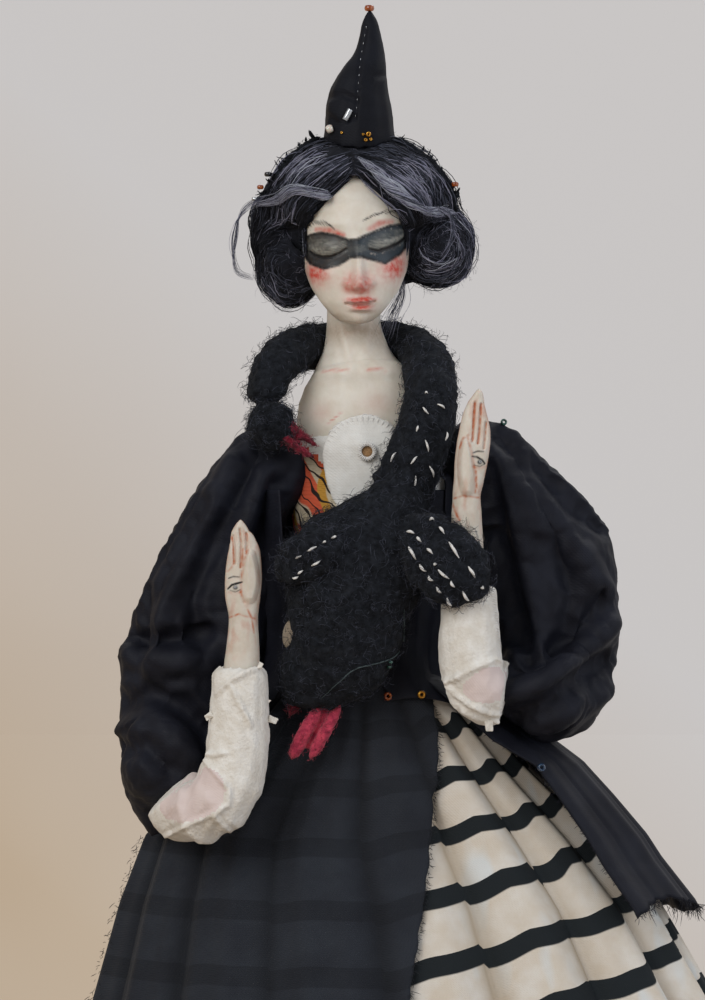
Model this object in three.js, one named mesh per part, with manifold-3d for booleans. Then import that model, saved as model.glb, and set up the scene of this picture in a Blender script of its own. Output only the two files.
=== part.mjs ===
// A standing art doll: clay head, neck and hands, wool hair, pointed hat, black coat with puffed
// sleeves, a felt swan worn as a stole, and a sheer panel over a striped skirt, on a wooden stand.
//
// Millimetres. X is across the doll, -Y is its front, +Z is up, and the origin is the middle of
// the stand's underside. Left and right are as seen from the front, so left is -X.

import * as THREE from 'three';
import { mergeVertices } from 'three/addons/utils/BufferGeometryUtils.js';
import Module from 'manifold-3d';

const wasm = await Module();
wasm.setup();

const X_AXIS = new THREE.Vector3(1, 0, 0);
const Z_AXIS = new THREE.Vector3(0, 0, 1);

// Fits
const GAP = 0.3; // clearance between pieces that touch
const SWIVEL = 0.7; // clearance of a ball joint, which its facets need to turn freely
const FAR = 400; // reach of a cutting block, larger than the doll is wide

// Stand, leg wires, boots and legs
const stand = { radius: 66, thick: 12, edge: 3, boreDepth: 8 };
const wire = { radius: 1.5, intoHips: 22 };
const boot = { halfWidth: 9, halfLength: 23, instep: 15, toe: 6, shaftRadius: 8.5, height: 46 };
const legs = { halfSpread: 13, ankleRadius: 7, kneeRadius: 8.5, thighRadius: 12, insideBoot: 24 };

// Stuffed torso: heights and half widths from the hips to the shoulders
const hips = { x: 3, z: 236, wide: 26, deep: 19 };
const crotchZ = 213;
const waist = { x: 3, z: 300, wide: 15, deep: 12 };
const chest = { x: 4, z: 345, wide: 22, deep: 14 };
const torsoTop = { x: 5, z: 358, wide: 24, deep: 13 };

// Shoulder plate and neck
const plate = { x: 1, z: 366, wide: 19, deep: 12.5 };
const collarbone = { z: 384, wide: 17.5, deep: 11 };
const neckRoot = { z: 398, wide: 9 };
const neck = { x: -1, y: 2, topZ: 415.5, radius: 7.9 };

// Neck ball on its peg: the head turns on the peg and nods on the ball
const neckBall = { z: 418.5, radius: 5, pegRadius: 2, pegLength: 13 };
const nodRoom = 2.3; // room round the neck inside the head, for the nod

// Head
const chinZ = 403;
const crownZ = 455;
const face = { x: -0.4, wide: 16.8, deep: 18.5, z: 428 };
const nose = { x: 0.6, z: 414.5, wide: 2.6, deep: 3.4, tall: 4.8, y: -20.3 };

// Hair
const hair = { x: 0.5, y: 3, z: 437, wide: 29.5, deep: 24, tall: 24, bottomZ: 416 };
const hairline = { y: -22, z: 424, wide: 16.5, deep: 20, tall: 24 };
const bunLeft = { x: -23.5, y: 3, z: 421, wide: 11.5, deep: 13, tall: 13 };
const bunRight = { x: 26.5, y: 3, z: 426, wide: 12, deep: 13, tall: 13 };
const lockRadius = 1.6;
const trimRadius = 1.5;

// Hat
const hat = { x: 0.6, y: -2, sunk: 9, wide: 10.4, lean: 3.1, tall: 44.5 };
const hatBaseZ = hair.z + hair.tall - hat.sunk;
const hatTip = [hat.x + hat.lean, hat.y + 1.5, hatBaseZ + hat.tall];
const tipBeadRadius = 1.6;
const pearlRadius = 1.7;
const beadRadius = 1.2;
const sewnBead = 1.5;

// Clothes on the torso
const bodice = { thick: 1.6, topZ: 358, bottomZ: 303 };
const patch = { x: 2, z: 364, radius: 12.4, thick: 1, bottomZ: 352 };
const eyelet = { x: 3, z: 365.3, ring: 2.3, tube: 0.7 };
const coat = { clear: 2.4, thick: 2.8, topZ: 370, bottomZ: 301, openLeft: -21, openRight: 26 };

// Shoulders, elbows and arms. A shoulder ball belongs to the coat, an elbow ball to the gauntlet.
const shoulderBall = 12.6;
const sleeveCap = 14.5;
const armRadius = 9.5;
const armWireRadius = 1;
const leftArm = {
  side: -1,
  shoulder: [-28, 0, 359],
  elbow: [-51, -22, 261],
  elbowBall: 11.5,
  mouth: [0.3, -0.95, 0],
};
const rightArm = {
  side: 1,
  shoulder: [38, 0, 361],
  elbow: [42, -20, 294],
  elbowBall: 9.7,
  mouth: [-0.3, -0.95, 0],
};
const hand = { length: 31.5, wristRadius: 4.4, palm: 5.2, palmDeep: 3, socket: 14, thumb: 1.5 };
const leftHand = { side: -1, foot: [-34.2, -35, 289], lean: 0.4, forearm: 26, cuffZ: 303 };
const rightHand = { side: 1, foot: [31.8, -33, 312], lean: 3.7, forearm: 39, cuffZ: 326 };

// Skirts
const skirt = { thick: 1.6, folds: 12, foldDepth: 4.5 };
const hemZ = 90;
const panelHemZ = 118;
const tailHemZ = 230;
const skirtLevels = [
  { x: 3, y: 0, z: waist.z - GAP, wide: 19.5, deep: 16.5 },
  { x: 4, y: 1, z: 292, wide: 27, deep: 20 },
  { x: 5, y: 6, z: 271, wide: 46, deep: 26 },
  { x: 6, y: 8, z: 250, wide: 67, deep: 30 },
  { x: 9, y: 8, z: tailHemZ, wide: 81, deep: 39.5 },
  { x: 14, y: 6, z: 201, wide: 93, deep: 50 },
  { x: 19, y: 3, z: panelHemZ, wide: 111, deep: 73 },
  { x: 20, y: 2, z: hemZ, wide: 115, deep: 80 },
];
const panel = {
  clear: 0.7, thick: 1.4, hemZ: panelHemZ, frontEdge: -30, backEdge: -262.5, flare: 1.6,
};
const panelEdge = { at: [24.5, 0, 297], facing: [1, 0, -0.105] };
const tail = {
  clear: 0.7, thick: 1.6, hemZ: tailHemZ, frontEdge: -22.5, backEdge: 90, flare: 9,
};

// Swan
const swanHead = { x: -25.5, y: -17, z: 373, wide: 6.6, deep: 6, tall: 7 };
const wingThick = 2.6;

// Materials
const paint = (color, roughness, metalness = 0) =>
  new THREE.MeshStandardMaterial({ color, roughness, metalness });
const clay = paint('#d3cabb', 0.35);
const wool = paint('#1b1d22', 0.95);
const greyWool = paint('#6d6d7a', 0.95);
const satin = paint('#14161c', 0.45);
const sateen = paint('#15171d', 0.7);
const sheer = paint('#20242b', 0.8);
const stripedCotton = paint('#d3cabd', 0.85);
const printedCotton = paint('#c4683f', 0.85);
const linen = paint('#e4e2dc', 0.9);
const leather = paint('#e8e2da', 0.7);
const felt = paint('#191b20', 0.95);
const redFelt = paint('#8f1f33', 0.9);
const coralFelt = paint('#c4485a', 0.9);
const bodyCloth = paint('#d9cfc2', 0.9);
const steel = paint('#9aa0a6', 0.35, 1);
const wood = paint('#8a5f3c', 0.6);
const amberGlass = paint('#b4622a', 0.15);
const pearl = paint('#d9d4c8', 0.25);
const gold = paint('#d19a2b', 0.3, 1);
const blueGlass = paint('#2c4a7c', 0.15);
const greenGlass = paint('#2f6b4b', 0.15);

const doll = new THREE.Group();

const point = ([x, y, z]) => new THREE.Vector3(x, y, z);

/** A closed geometry as a solid that can be joined and cut. */
function solid(geometry) {
  const bare = geometry.clone();
  bare.deleteAttribute('normal');
  bare.deleteAttribute('uv');
  const merged = mergeVertices(bare, 1e-4);
  return new wasm.Manifold(new wasm.Mesh({
    numProp: 3,
    vertProperties: new Float32Array(merged.attributes.position.array),
    triVerts: new Uint32Array(merged.index.array),
  }));
}

/** A solid's own triangles as a geometry. */
function geometryOf(body) {
  const mesh = body.getMesh();
  const geometry = new THREE.BufferGeometry();
  geometry.setAttribute('position', new THREE.BufferAttribute(mesh.vertProperties, 3));
  geometry.setIndex(new THREE.BufferAttribute(mesh.triVerts, 1));
  geometry.computeVertexNormals();
  return geometry;
}

const joined = (first, ...rest) => rest.reduce((sum, next) => sum.add(next), first);
const carved = (first, ...tools) => tools.reduce((left, tool) => left.subtract(tool), first);

/** The solid with its skin moved outwards by a distance, to cut its neighbour clear of it. */
function grown(body, distance) {
  const geometry = geometryOf(body);
  const { position, normal } = geometry.attributes;
  for (let i = 0; i < position.count; i += 1) {
    position.setXYZ(
      i,
      position.getX(i) + normal.getX(i) * distance,
      position.getY(i) + normal.getY(i) * distance,
      position.getZ(i) + normal.getZ(i) * distance,
    );
  }
  return solid(geometry);
}

/** Adds one named piece to the doll. */
function add(name, body, material) {
  const mesh = new THREE.Mesh(geometryOf(body), material);
  mesh.name = name;
  doll.add(mesh);
  return body;
}

/** A block from one corner to the other. */
function block([x0, y0, z0], [x1, y1, z1]) {
  const geometry = new THREE.BoxGeometry(x1 - x0, y1 - y0, z1 - z0);
  geometry.translate((x0 + x1) / 2, (y0 + y1) / 2, (z0 + z1) / 2);
  return solid(geometry);
}
const above = (z) => block([-FAR, -FAR, z], [FAR, FAR, z + FAR]);
const below = (z) => block([-FAR, -FAR, z - FAR], [FAR, FAR, z]);

/** Everything in front of a plane through a point, in the direction of its normal. */
function inFrontOf(at, normal) {
  const geometry = new THREE.BoxGeometry(FAR, FAR, FAR);
  geometry.translate(0, 0, FAR / 2);
  const direction = point(normal).normalize();
  geometry.applyQuaternion(new THREE.Quaternion().setFromUnitVectors(Z_AXIS, direction));
  geometry.translate(...at);
  return solid(geometry);
}

/** An ellipsoid, or a ball where the three radii are alike. */
function ellipsoid({ x, y, z }, wide, deep = wide, tall = wide, around = 14) {
  const geometry = new THREE.SphereGeometry(1, around, Math.round(around * 0.7));
  geometry.rotateX(Math.PI / 2);
  geometry.scale(wide, deep, tall);
  geometry.translate(x, y, z);
  return solid(geometry);
}
const ball = ([x, y, z], radius, around = 14) => ellipsoid({ x, y, z }, radius, radius, radius, around);

/** An upright rod between two heights. */
function rod(x, y, z0, z1, radius, around = 12) {
  const geometry = new THREE.CylinderGeometry(radius, radius, z1 - z0, around);
  geometry.rotateX(Math.PI / 2);
  geometry.translate(x, y, (z0 + z1) / 2);
  return solid(geometry);
}

/**
 * A stuffed form that swells and tapers along a smooth line. Each station is
 * [x, y, z, half width, half depth]; the width lies along `across` as far as the line lets it,
 * or is carried along the line without twist where `across` is left out.
 */
function stuffed(stations, { around = 14, rows = 14, across = X_AXIS } = {}) {
  const line = new THREE.CatmullRomCurve3(stations.map(point), false, 'centripetal');
  const sizes = new THREE.CatmullRomCurve3(
    stations.map(([, , , wide, deep]) => new THREE.Vector3(wide, deep ?? wide, 0)),
    false,
    'catmullrom',
    0.5,
  );
  const frames = line.computeFrenetFrames(rows, false);
  const rings = frames.tangents.map((tangent, row) => {
    const along = line.getUtoTmapping(row / rows);
    const size = sizes.getPoint(along);
    const first = across
      ? across.clone().addScaledVector(tangent, -across.dot(tangent)).normalize()
      : frames.normals[row];
    return {
      centre: line.getPoint(along),
      wide: first.clone().multiplyScalar(Math.max(size.x, 0.1)),
      deep: tangent.clone().cross(first).multiplyScalar(Math.max(size.y, 0.1)),
    };
  });
  const geometry = new THREE.SphereGeometry(1, around, rows);
  geometry.deleteAttribute('normal');
  geometry.deleteAttribute('uv');
  const skin = mergeVertices(geometry, 1e-4);
  const { position } = skin.attributes;
  const place = new THREE.Vector3();
  for (let i = 0; i < position.count; i += 1) {
    place.fromBufferAttribute(position, i);
    const row = Math.round((Math.acos(THREE.MathUtils.clamp(place.y, -1, 1)) / Math.PI) * rows);
    const angle = Math.atan2(place.z, place.x);
    const atPole = row === 0 || row === rows;
    const ring = rings[row];
    place.copy(ring.centre);
    if (!atPole) {
      place.addScaledVector(ring.wide, Math.cos(angle));
      place.addScaledVector(ring.deep, Math.sin(angle));
    }
    position.setXYZ(i, place.x, place.y, place.z);
  }
  return facingOut(skin);
}

/** The solid of a geometry whose faces may all point in or all point out. */
function facingOut(geometry) {
  const body = solid(geometry);
  if (body.volume() > 0) {
    return body;
  }
  const { index } = geometry;
  for (let i = 0; i < index.count; i += 3) {
    const second = index.getX(i + 1);
    index.setX(i + 1, index.getX(i + 2));
    index.setX(i + 2, second);
  }
  return solid(geometry);
}

// Torso, with bores for the leg wires
const torsoX = (side) => hips.x + side * legs.halfSpread;
const torsoForm = stuffed([
  [hips.x, 0, crotchZ, 0.1, 0.1],
  [hips.x, 0, crotchZ + 4, hips.wide * 0.75, hips.deep * 0.75],
  [hips.x, 0, hips.z, hips.wide, hips.deep],
  [(hips.x + waist.x) / 2, 0, (hips.z + waist.z) / 2, (hips.wide + waist.wide) / 2 + 1,
    (hips.deep + waist.deep) / 2 + 0.5],
  [waist.x, 0, waist.z, waist.wide, waist.deep],
  [chest.x, 0, chest.z, chest.wide, chest.deep],
  [torsoTop.x, 0, torsoTop.z, torsoTop.wide, torsoTop.deep],
  [torsoTop.x, 0, plate.z + 2, torsoTop.wide * 0.75, torsoTop.deep * 0.85],
  [torsoTop.x, 0, plate.z + 4, 0.1, 0.1],
], { around: 16, rows: 12 });
const torsoCut = carved(torsoForm, above(plate.z - GAP));
const hipWireTop = crotchZ + wire.intoHips;
const wireBore = (side, z0, z1) => rod(torsoX(side), 0, z0, z1, wire.radius + GAP);
add('torso', carved(
  torsoCut,
  wireBore(-1, crotchZ - 20, hipWireTop + GAP),
  wireBore(1, crotchZ - 20, hipWireTop + GAP),
), bodyCloth);

// Stand with its two wire bores
function standSolid() {
  const { radius, thick, edge } = stand;
  const profile = [
    new THREE.Vector2(0, 0),
    new THREE.Vector2(radius - edge, 0),
    new THREE.Vector2(radius, edge),
    new THREE.Vector2(radius, thick - edge),
    new THREE.Vector2(radius - edge, thick),
    new THREE.Vector2(0, thick),
  ];
  const geometry = new THREE.LatheGeometry(profile, 28);
  geometry.rotateX(Math.PI / 2);
  return facingOut(mergeVertices(stripped(geometry), 1e-4));
}
function stripped(geometry) {
  geometry.deleteAttribute('normal');
  geometry.deleteAttribute('uv');
  return geometry;
}
const boreFloor = stand.thick - stand.boreDepth;
add('wooden_stand', carved(
  standSolid(),
  wireBore(-1, boreFloor, stand.thick + 1),
  wireBore(1, boreFloor, stand.thick + 1),
), wood);

// Legs: a steel wire up through a clay boot and a stuffed leg into the hips
const bootTop = stand.thick + boot.height;
for (const [side, word] of [[-1, 'left'], [1, 'right']]) {
  const x = torsoX(side);
  const bore = wireBore(side, 0, hipWireTop);
  add(`leg_wire_${word}`, rod(x, 0, boreFloor + GAP, hipWireTop, wire.radius), steel);

  const foot = stuffed([
    [x, boot.halfLength * 0.55, stand.thick + boot.toe, 0.1, 0.1],
    [x, boot.halfLength * 0.45, stand.thick + boot.toe, boot.halfWidth * 0.8, boot.toe + 4],
    [x, 0, stand.thick + boot.toe, boot.halfWidth, boot.instep],
    [x, -boot.halfLength * 0.7, stand.thick + boot.toe * 0.6, boot.halfWidth, boot.toe + 2],
    [x, -boot.halfLength * 1.25, stand.thick + boot.toe * 0.5, boot.halfWidth * 0.6, boot.toe],
    [x, -boot.halfLength * 1.4, stand.thick + boot.toe * 0.5, 0.1, 0.1],
  ], { around: 12, rows: 9 });
  const shaft = rod(x, 0, stand.thick + boot.toe, bootTop, boot.shaftRadius);
  add(`boot_${word}`, carved(
    joined(foot, shaft),
    below(stand.thick + GAP),
    bore,
  ), clay);

  const leg = stuffed([
    [x, 0, bootTop - legs.insideBoot, 0.1, 0.1],
    [x, 0, bootTop - legs.insideBoot / 3, legs.ankleRadius, legs.ankleRadius],
    [x, 0, (bootTop + crotchZ) / 2, legs.kneeRadius, legs.kneeRadius],
    [x, 0, crotchZ, legs.thighRadius, legs.thighRadius],
    [x, 0, hips.z, legs.thighRadius, legs.thighRadius],
    [x, 0, hips.z + 6, 0.1, 0.1],
  ], { around: 10, rows: 8 });
  add(`leg_${word}`, carved(leg, below(bootTop + GAP), grown(torsoForm, GAP), bore), bodyCloth);
}

// Neck ball and shoulder plate: the ball's peg turns in a bore down the neck
const ballCentre = [neck.x, neck.y, neckBall.z];
const neckBallForm = joined(
  ball(ballCentre, neckBall.radius, 12),
  rod(neck.x, neck.y, neckBall.z - neckBall.pegLength, neckBall.z, neckBall.pegRadius),
);
add('neck_ball', neckBallForm, steel);

const neckRootX = (plate.x + neck.x) / 2;
const plateForm = carved(stuffed([
  [plate.x, 0, plate.z - 10, 0.1, 0.1],
  [plate.x, 0, plate.z - 6, plate.wide, plate.deep],
  [plate.x, 0, plate.z + 8, plate.wide, plate.deep],
  [plate.x, 0, collarbone.z, collarbone.wide, collarbone.deep],
  [neckRootX, neck.y / 2, (collarbone.z + neckRoot.z) / 2, neckRoot.wide + 3, neckRoot.wide],
  [neck.x, neck.y, neckRoot.z, neckRoot.wide, neckRoot.wide],
  [neck.x, neck.y, neckRoot.z + 8, neck.radius, neck.radius],
  [neck.x, neck.y, neck.topZ + 1, neck.radius, neck.radius],
  [neck.x, neck.y, neck.topZ + 4, 0.1, 0.1],
], { around: 14, rows: 13 }), below(plate.z), above(neck.topZ));
add('shoulder_plate', carved(
  plateForm,
  ball(ballCentre, neckBall.radius + GAP, 12),
  rod(neck.x, neck.y, neckBall.z - neckBall.pegLength - GAP, neckBall.z, neckBall.pegRadius + GAP),
), clay);

// Head, with a socket for the ball and room for the neck
const skullForm = stuffed([
  [face.x, -15, chinZ, 0.1, 0.1],
  [face.x, -14, chinZ + 1.2, 5, 4.5],
  [face.x, -12, chinZ + 6, 9.6, 8.3],
  [face.x, -8, chinZ + 11, 13.2, 11.5],
  [face.x, -4, chinZ + 17, 15.6, 15.2],
  [face.x, -1.6, face.z, face.wide, face.deep],
  [face.x, -0.5, face.z + 10, face.wide, face.deep],
  [face.x, 0.5, crownZ - 8, face.wide * 0.8, face.deep * 0.82],
  [face.x, 1, crownZ - 2, face.wide * 0.45, face.deep * 0.5],
  [face.x, 1, crownZ, 0.1, 0.1],
], { around: 16, rows: 14 });
const headForm = joined(skullForm, ellipsoid(nose, nose.wide, nose.deep, nose.tall, 10));
add('head', carved(
  headForm,
  ball(ballCentre, neckBall.radius + GAP, 12),
  rod(neck.x, neck.y, chinZ - 6, neck.topZ + nodRoom / 2, neck.radius + nodRoom, 14),
), clay);

// Hair: a cap open at the face, a bun at each side, a twisted grey lock along each hairline
const headRoom = grown(skullForm, GAP);
const neckRoom = rod(neck.x, neck.y, chinZ - 6, neckBall.z + 4, neck.radius + nodRoom + 1, 14);
const capForm = ellipsoid(hair, hair.wide, hair.deep, hair.tall, 16);
const hairCap = carved(
  capForm,
  headRoom,
  ellipsoid({ x: face.x, y: hairline.y, z: hairline.z }, hairline.wide, hairline.deep, hairline.tall),
  below(hair.bottomZ),
  neckRoom,
);
add('hair_cap', hairCap, wool);
const hairRoom = grown(capForm, GAP);
const capCutters = [hairRoom, headRoom, neckRoom];
const bunForms = [bunLeft, bunRight].map((bun) => ellipsoid(bun, bun.wide, bun.deep, bun.tall));
add('hair_bun_left', carved(bunForms[0], ...capCutters), wool);
add('hair_bun_right', carved(bunForms[1], ...capCutters), wool);

/** A point on the front of the hair cap, lifted off it by a height. */
function onHair(x, z, lift) {
  const reach = 1 - ((x - hair.x) / hair.wide) ** 2 - ((z - hair.z) / hair.tall) ** 2;
  return [x, hair.y - hair.deep * Math.sqrt(Math.max(reach, 0.02)) - lift, z];
}
function hairLock(path, body) {
  const last = path.length - 1;
  const stations = path.map(([x, z], i) => {
    const end = i === 0 || i === last;
    return [...onHair(x, z, lockRadius), end ? 0.3 : lockRadius];
  });
  return carved(
    stuffed(stations, { around: 7, rows: 14, across: null }),
    hairRoom,
    headRoom,
    grown(body, GAP),
  );
}
add('hair_lock_left', hairLock(
  [[-1.5, 450], [-6, 446.5], [-12, 442.5], [-20, 441], [-26, 438]],
  bunForms[0],
), greyWool);
add('hair_lock_right', hairLock(
  [[2.5, 451], [8, 446.5], [13, 441], [19, 438.5], [25.5, 438.5]],
  bunForms[1],
), greyWool);

// Hat on the crown, with a bead on its tip
const hatStation = (lean, back, rise, share) => [
  hat.x + hat.lean * lean,
  hat.y + back,
  hatBaseZ + hat.tall * rise,
  Math.max(hat.wide * share, 0.1),
  Math.max(hat.wide * share, 0.1),
];
const hatForm = stuffed([
  hatStation(0, 0, 0, 0),
  hatStation(0, 0, 0.045, 1),
  hatStation(0, 0, 0.27, 1),
  hatStation(0, 0, 0.427, 0.92),
  hatStation(0.32, 0, 0.54, 0.77),
  hatStation(1, 1, 0.697, 0.51),
  hatStation(1.1, 1.5, 0.843, 0.33),
  hatStation(1, 1.5, 0.978, 0.17),
  hatStation(1, 1.5, 1, 0),
], { around: 12, rows: 13 });
const hatSolid = carved(hatForm, hairRoom);
add('hat', hatSolid, satin);
const [tipX, tipY, tipZ] = hatTip;
add('hat_tip_bead', ball([tipX, tipY, tipZ + GAP + tipBeadRadius], tipBeadRadius, 8), amberGlass);

// Feather trim over the crown, from the hat's foot down each side, and its beads
const hatRoom = grown(hatForm, GAP);
const trimY = -3;
const crownPoint = (degrees, lift) => {
  const angle = THREE.MathUtils.degToRad(degrees);
  return [
    hair.x + (hair.wide + lift) * Math.sin(angle),
    trimY,
    hair.z + (hair.tall + lift) * Math.cos(angle),
  ];
};
function crownTrim(from, to) {
  const steps = 6;
  const stations = Array.from({ length: steps + 1 }, (_, i) => {
    const end = i === 0 || i === steps;
    return [...crownPoint(from + ((to - from) * i) / steps, trimRadius), end ? 0.3 : trimRadius];
  });
  return carved(
    stuffed(stations, { around: 7, rows: 12, across: null }),
    hairRoom,
    hatRoom,
    ...bunForms.map((bun) => grown(bun, GAP)),
  );
}
add('crown_trim_left', crownTrim(-20, -82), felt);
add('crown_trim_right', crownTrim(20, 82), felt);
const beadLift = 2 * trimRadius + beadRadius + GAP / 2;
add('crown_bead_black', ball(crownPoint(-56, beadLift), beadRadius, 6), satin);
add('crown_bead_amber_left', ball(crownPoint(-64, beadLift), beadRadius, 6), amberGlass);
add('crown_bead_clear', ball(crownPoint(-72, beadLift), beadRadius, 6), pearl);
add('crown_bead_amber_right', ball(crownPoint(62, beadLift), beadRadius, 6), amberGlass);
const hatFootZ = hair.z + hair.tall + 3;
const hatBead = (x, z, radius) => {
  const reach = hat.wide + GAP + radius;
  return [x, hat.y - Math.sqrt(Math.max(reach ** 2 - (x - hat.x) ** 2, 0)), z];
};
add('hat_bead_pearl', ball(hatBead(-7, hatFootZ - 1, pearlRadius), pearlRadius, 6), pearl);
add('hat_bead_gold', ball(hatBead(2.5, hatFootZ - 4.5, beadRadius), beadRadius, 6), gold);

// Printed bodice round the torso
const bodiceTop = above(bodice.topZ);
const bodiceForm = carved(
  grown(torsoForm, bodice.thick + GAP),
  grown(torsoForm, GAP),
  bodiceTop,
  below(bodice.bottomZ),
);
add('bodice', bodiceForm, printedCotton);

// White patch over the chest with its eyelet
function lyingDisc(x, z, radius, around = 20) {
  const geometry = new THREE.CylinderGeometry(radius, radius, FAR / 8, around);
  geometry.translate(x, -FAR / 16, z);
  return solid(geometry);
}
const bedLift = bodice.thick + 2 * GAP;
const patchBed = stuffed([
  [chest.x, 0, chest.z - 10, 0.1, 0.1],
  [chest.x, 0, chest.z, chest.wide + bedLift, chest.deep + bedLift],
  [torsoTop.x, 0, torsoTop.z, torsoTop.wide + bedLift, torsoTop.deep + bedLift],
  [plate.x, 0, plate.z + 1, torsoTop.wide, plate.deep + bedLift],
  [plate.x, 0, plate.z + 8, plate.wide + 1, plate.deep + 2 * GAP],
  [plate.x, 0, collarbone.z, collarbone.wide + GAP, collarbone.deep + GAP],
  [plate.x, 0, collarbone.z + 6, 0.1, 0.1],
], { around: 16, rows: 10 });
const patchSolid = carved(
  grown(patchBed, patch.thick),
  patchBed,
  below(patch.bottomZ),
).intersect(lyingDisc(patch.x, patch.z, patch.radius));
/** The frontmost Y of a solid near a place on its front. */
function frontOf(body, x, z) {
  return body.intersect(lyingDisc(x, z, 1, 8)).boundingBox().min[1];
}
const eyeletFront = frontOf(patchSolid, eyelet.x, eyelet.z);
add('chest_patch', carved(
  patchSolid,
  lyingDisc(eyelet.x, eyelet.z, eyelet.ring - eyelet.tube, 12),
), linen);
const eyeletRing = new THREE.TorusGeometry(eyelet.ring, eyelet.tube, 6, 12);
eyeletRing.rotateX(Math.PI / 2);
eyeletRing.translate(eyelet.x, eyeletFront - eyelet.tube - GAP, eyelet.z);
add('patch_eyelet', solid(eyeletRing), linen);

// Coat body: a shell round the torso, open at the front, with a ball at each shoulder
const coatInner = grown(torsoForm, coat.clear);
const coatForm = carved(
  joined(
    carved(
      grown(torsoForm, coat.clear + coat.thick),
      below(coat.bottomZ),
      above(coat.topZ),
      block([coat.openLeft, -FAR, 0], [coat.openRight, 0, FAR]),
    ),
    ball(leftArm.shoulder, shoulderBall),
    ball(rightArm.shoulder, shoulderBall),
  ),
  coatInner,
  grown(plateForm, GAP),
);
add('coat_body', coatForm, sateen);

// Skirts. Every sheet takes its points from the same columns and levels, so that they nest.
const columnTurn = 360 / (4 * skirt.folds);
const skirtTopZ = skirtLevels[0].z;

/** A point of the skirts' common shape, lifted off it by a height. */
function skirtPoint(degrees, z, lift) {
  const next = Math.max(skirtLevels.findIndex((level) => level.z <= z + 1e-6), 1);
  const [upper, lower] = [skirtLevels[next - 1], skirtLevels[next]];
  const share = (upper.z - z) / (upper.z - lower.z);
  const between = (key) => THREE.MathUtils.lerp(upper[key], lower[key], share);
  const angle = THREE.MathUtils.degToRad(degrees);
  const depth = skirt.foldDepth * ((skirtTopZ - z) / (skirtTopZ - hemZ));
  const out = lift + depth * Math.cos(skirt.folds * angle + Math.sin(2 * angle));
  return new THREE.Vector3(
    between('x') + (between('wide') + out) * Math.cos(angle),
    between('y') + (between('deep') + out) * Math.sin(angle),
    z,
  );
}

/** How far an overlying cloth's inner face lies off the skirt at a height. */
const clothLift = ({ clear, flare, hemZ: clothHem }, z) =>
  clear + flare * ((skirtTopZ - z) / (skirtTopZ - clothHem)) ** 2;

/** A skirt that goes right round: a ring whose section runs down outside and up inside. */
function roundSkirt() {
  const rows = skirtLevels.length;
  const ring = stripped(new THREE.TorusGeometry(2, 1, 2 * rows, 4 * skirt.folds));
  const skin = mergeVertices(ring, 1e-4);
  const { position } = skin.attributes;
  for (let i = 0; i < position.count; i += 1) {
    const [x, y, z] = [position.getX(i), position.getY(i), position.getZ(i)];
    const degrees = THREE.MathUtils.radToDeg(Math.atan2(y, x));
    const turn = (Math.atan2(z, Math.hypot(x, y) - 2) / Math.PI + 2) % 2;
    const row = Math.round(turn * rows) % (2 * rows);
    const outside = row < rows;
    const level = skirtLevels[outside ? row : 2 * rows - 1 - row];
    const place = skirtPoint(degrees, level.z, outside ? 0 : -skirt.thick);
    position.setXYZ(i, place.x, place.y, place.z);
  }
  return facingOut(skin);
}

/** A cloth that hangs over part of the skirt, from the waist to its own hem. */
function clothOver(cloth) {
  const { thick, frontEdge, backEdge } = cloth;
  const levels = skirtLevels.filter((level) => level.z >= cloth.hemZ);
  const columns = Math.round(Math.abs(backEdge - frontEdge) / columnTurn);
  const rows = levels.length - 1;
  const skin = mergeVertices(stripped(new THREE.BoxGeometry(1, 1, 1, columns, rows, 1)), 1e-4);
  const { position } = skin.attributes;
  for (let i = 0; i < position.count; i += 1) {
    const degrees = THREE.MathUtils.lerp(frontEdge, backEdge, position.getX(i) + 0.5);
    const { z } = levels[Math.round((0.5 - position.getY(i)) * rows)];
    const lift = clothLift(cloth, z) + (position.getZ(i) > 0 ? thick : 0);
    const place = skirtPoint(degrees, z, lift);
    position.setXYZ(i, place.x, place.y, place.z);
  }
  return facingOut(skin);
}

/** All that the skirts take up, filled and grown by the gap, to cut their neighbours clear. */
function filledSkirts() {
  const rows = skirtLevels.length - 1;
  const form = mergeVertices(
    stripped(new THREE.CylinderGeometry(1, 1, 1, 4 * skirt.folds, rows)),
    1e-4,
  );
  const { position } = form.attributes;
  for (let i = 0; i < position.count; i += 1) {
    const [x, y, z] = [position.getX(i), position.getY(i), position.getZ(i)];
    const level = skirtLevels[Math.round((0.5 - y) * rows)];
    const degrees = THREE.MathUtils.radToDeg(Math.atan2(z, x));
    const overTail = degrees > tail.frontEdge - 1 && degrees < tail.backEdge + 1;
    const cloth = overTail && level.z >= tail.hemZ ? tail : panel;
    const place = skirtPoint(degrees, level.z, clothLift(cloth, level.z) + cloth.thick + GAP);
    const centre = Math.hypot(x, z) < 0.5;
    const top = level === skirtLevels[0] ? GAP : 0;
    position.setXYZ(i, centre ? level.x : place.x, centre ? level.y : place.y, place.z + top);
  }
  return facingOut(form);
}
const stripedSkirt = roundSkirt();
const overSkirt = carved(
  clothOver(panel),
  inFrontOf(panelEdge.at, panelEdge.facing).intersect(block([-FAR, -FAR, 0], [FAR, 0, FAR])),
);
const coatTail = clothOver(tail);
const skirtRoom = filledSkirts();
add('striped_skirt', stripedSkirt, stripedCotton);
add('over_skirt', overSkirt, sheer);
add('coat_tail', coatTail, sateen);

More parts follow.
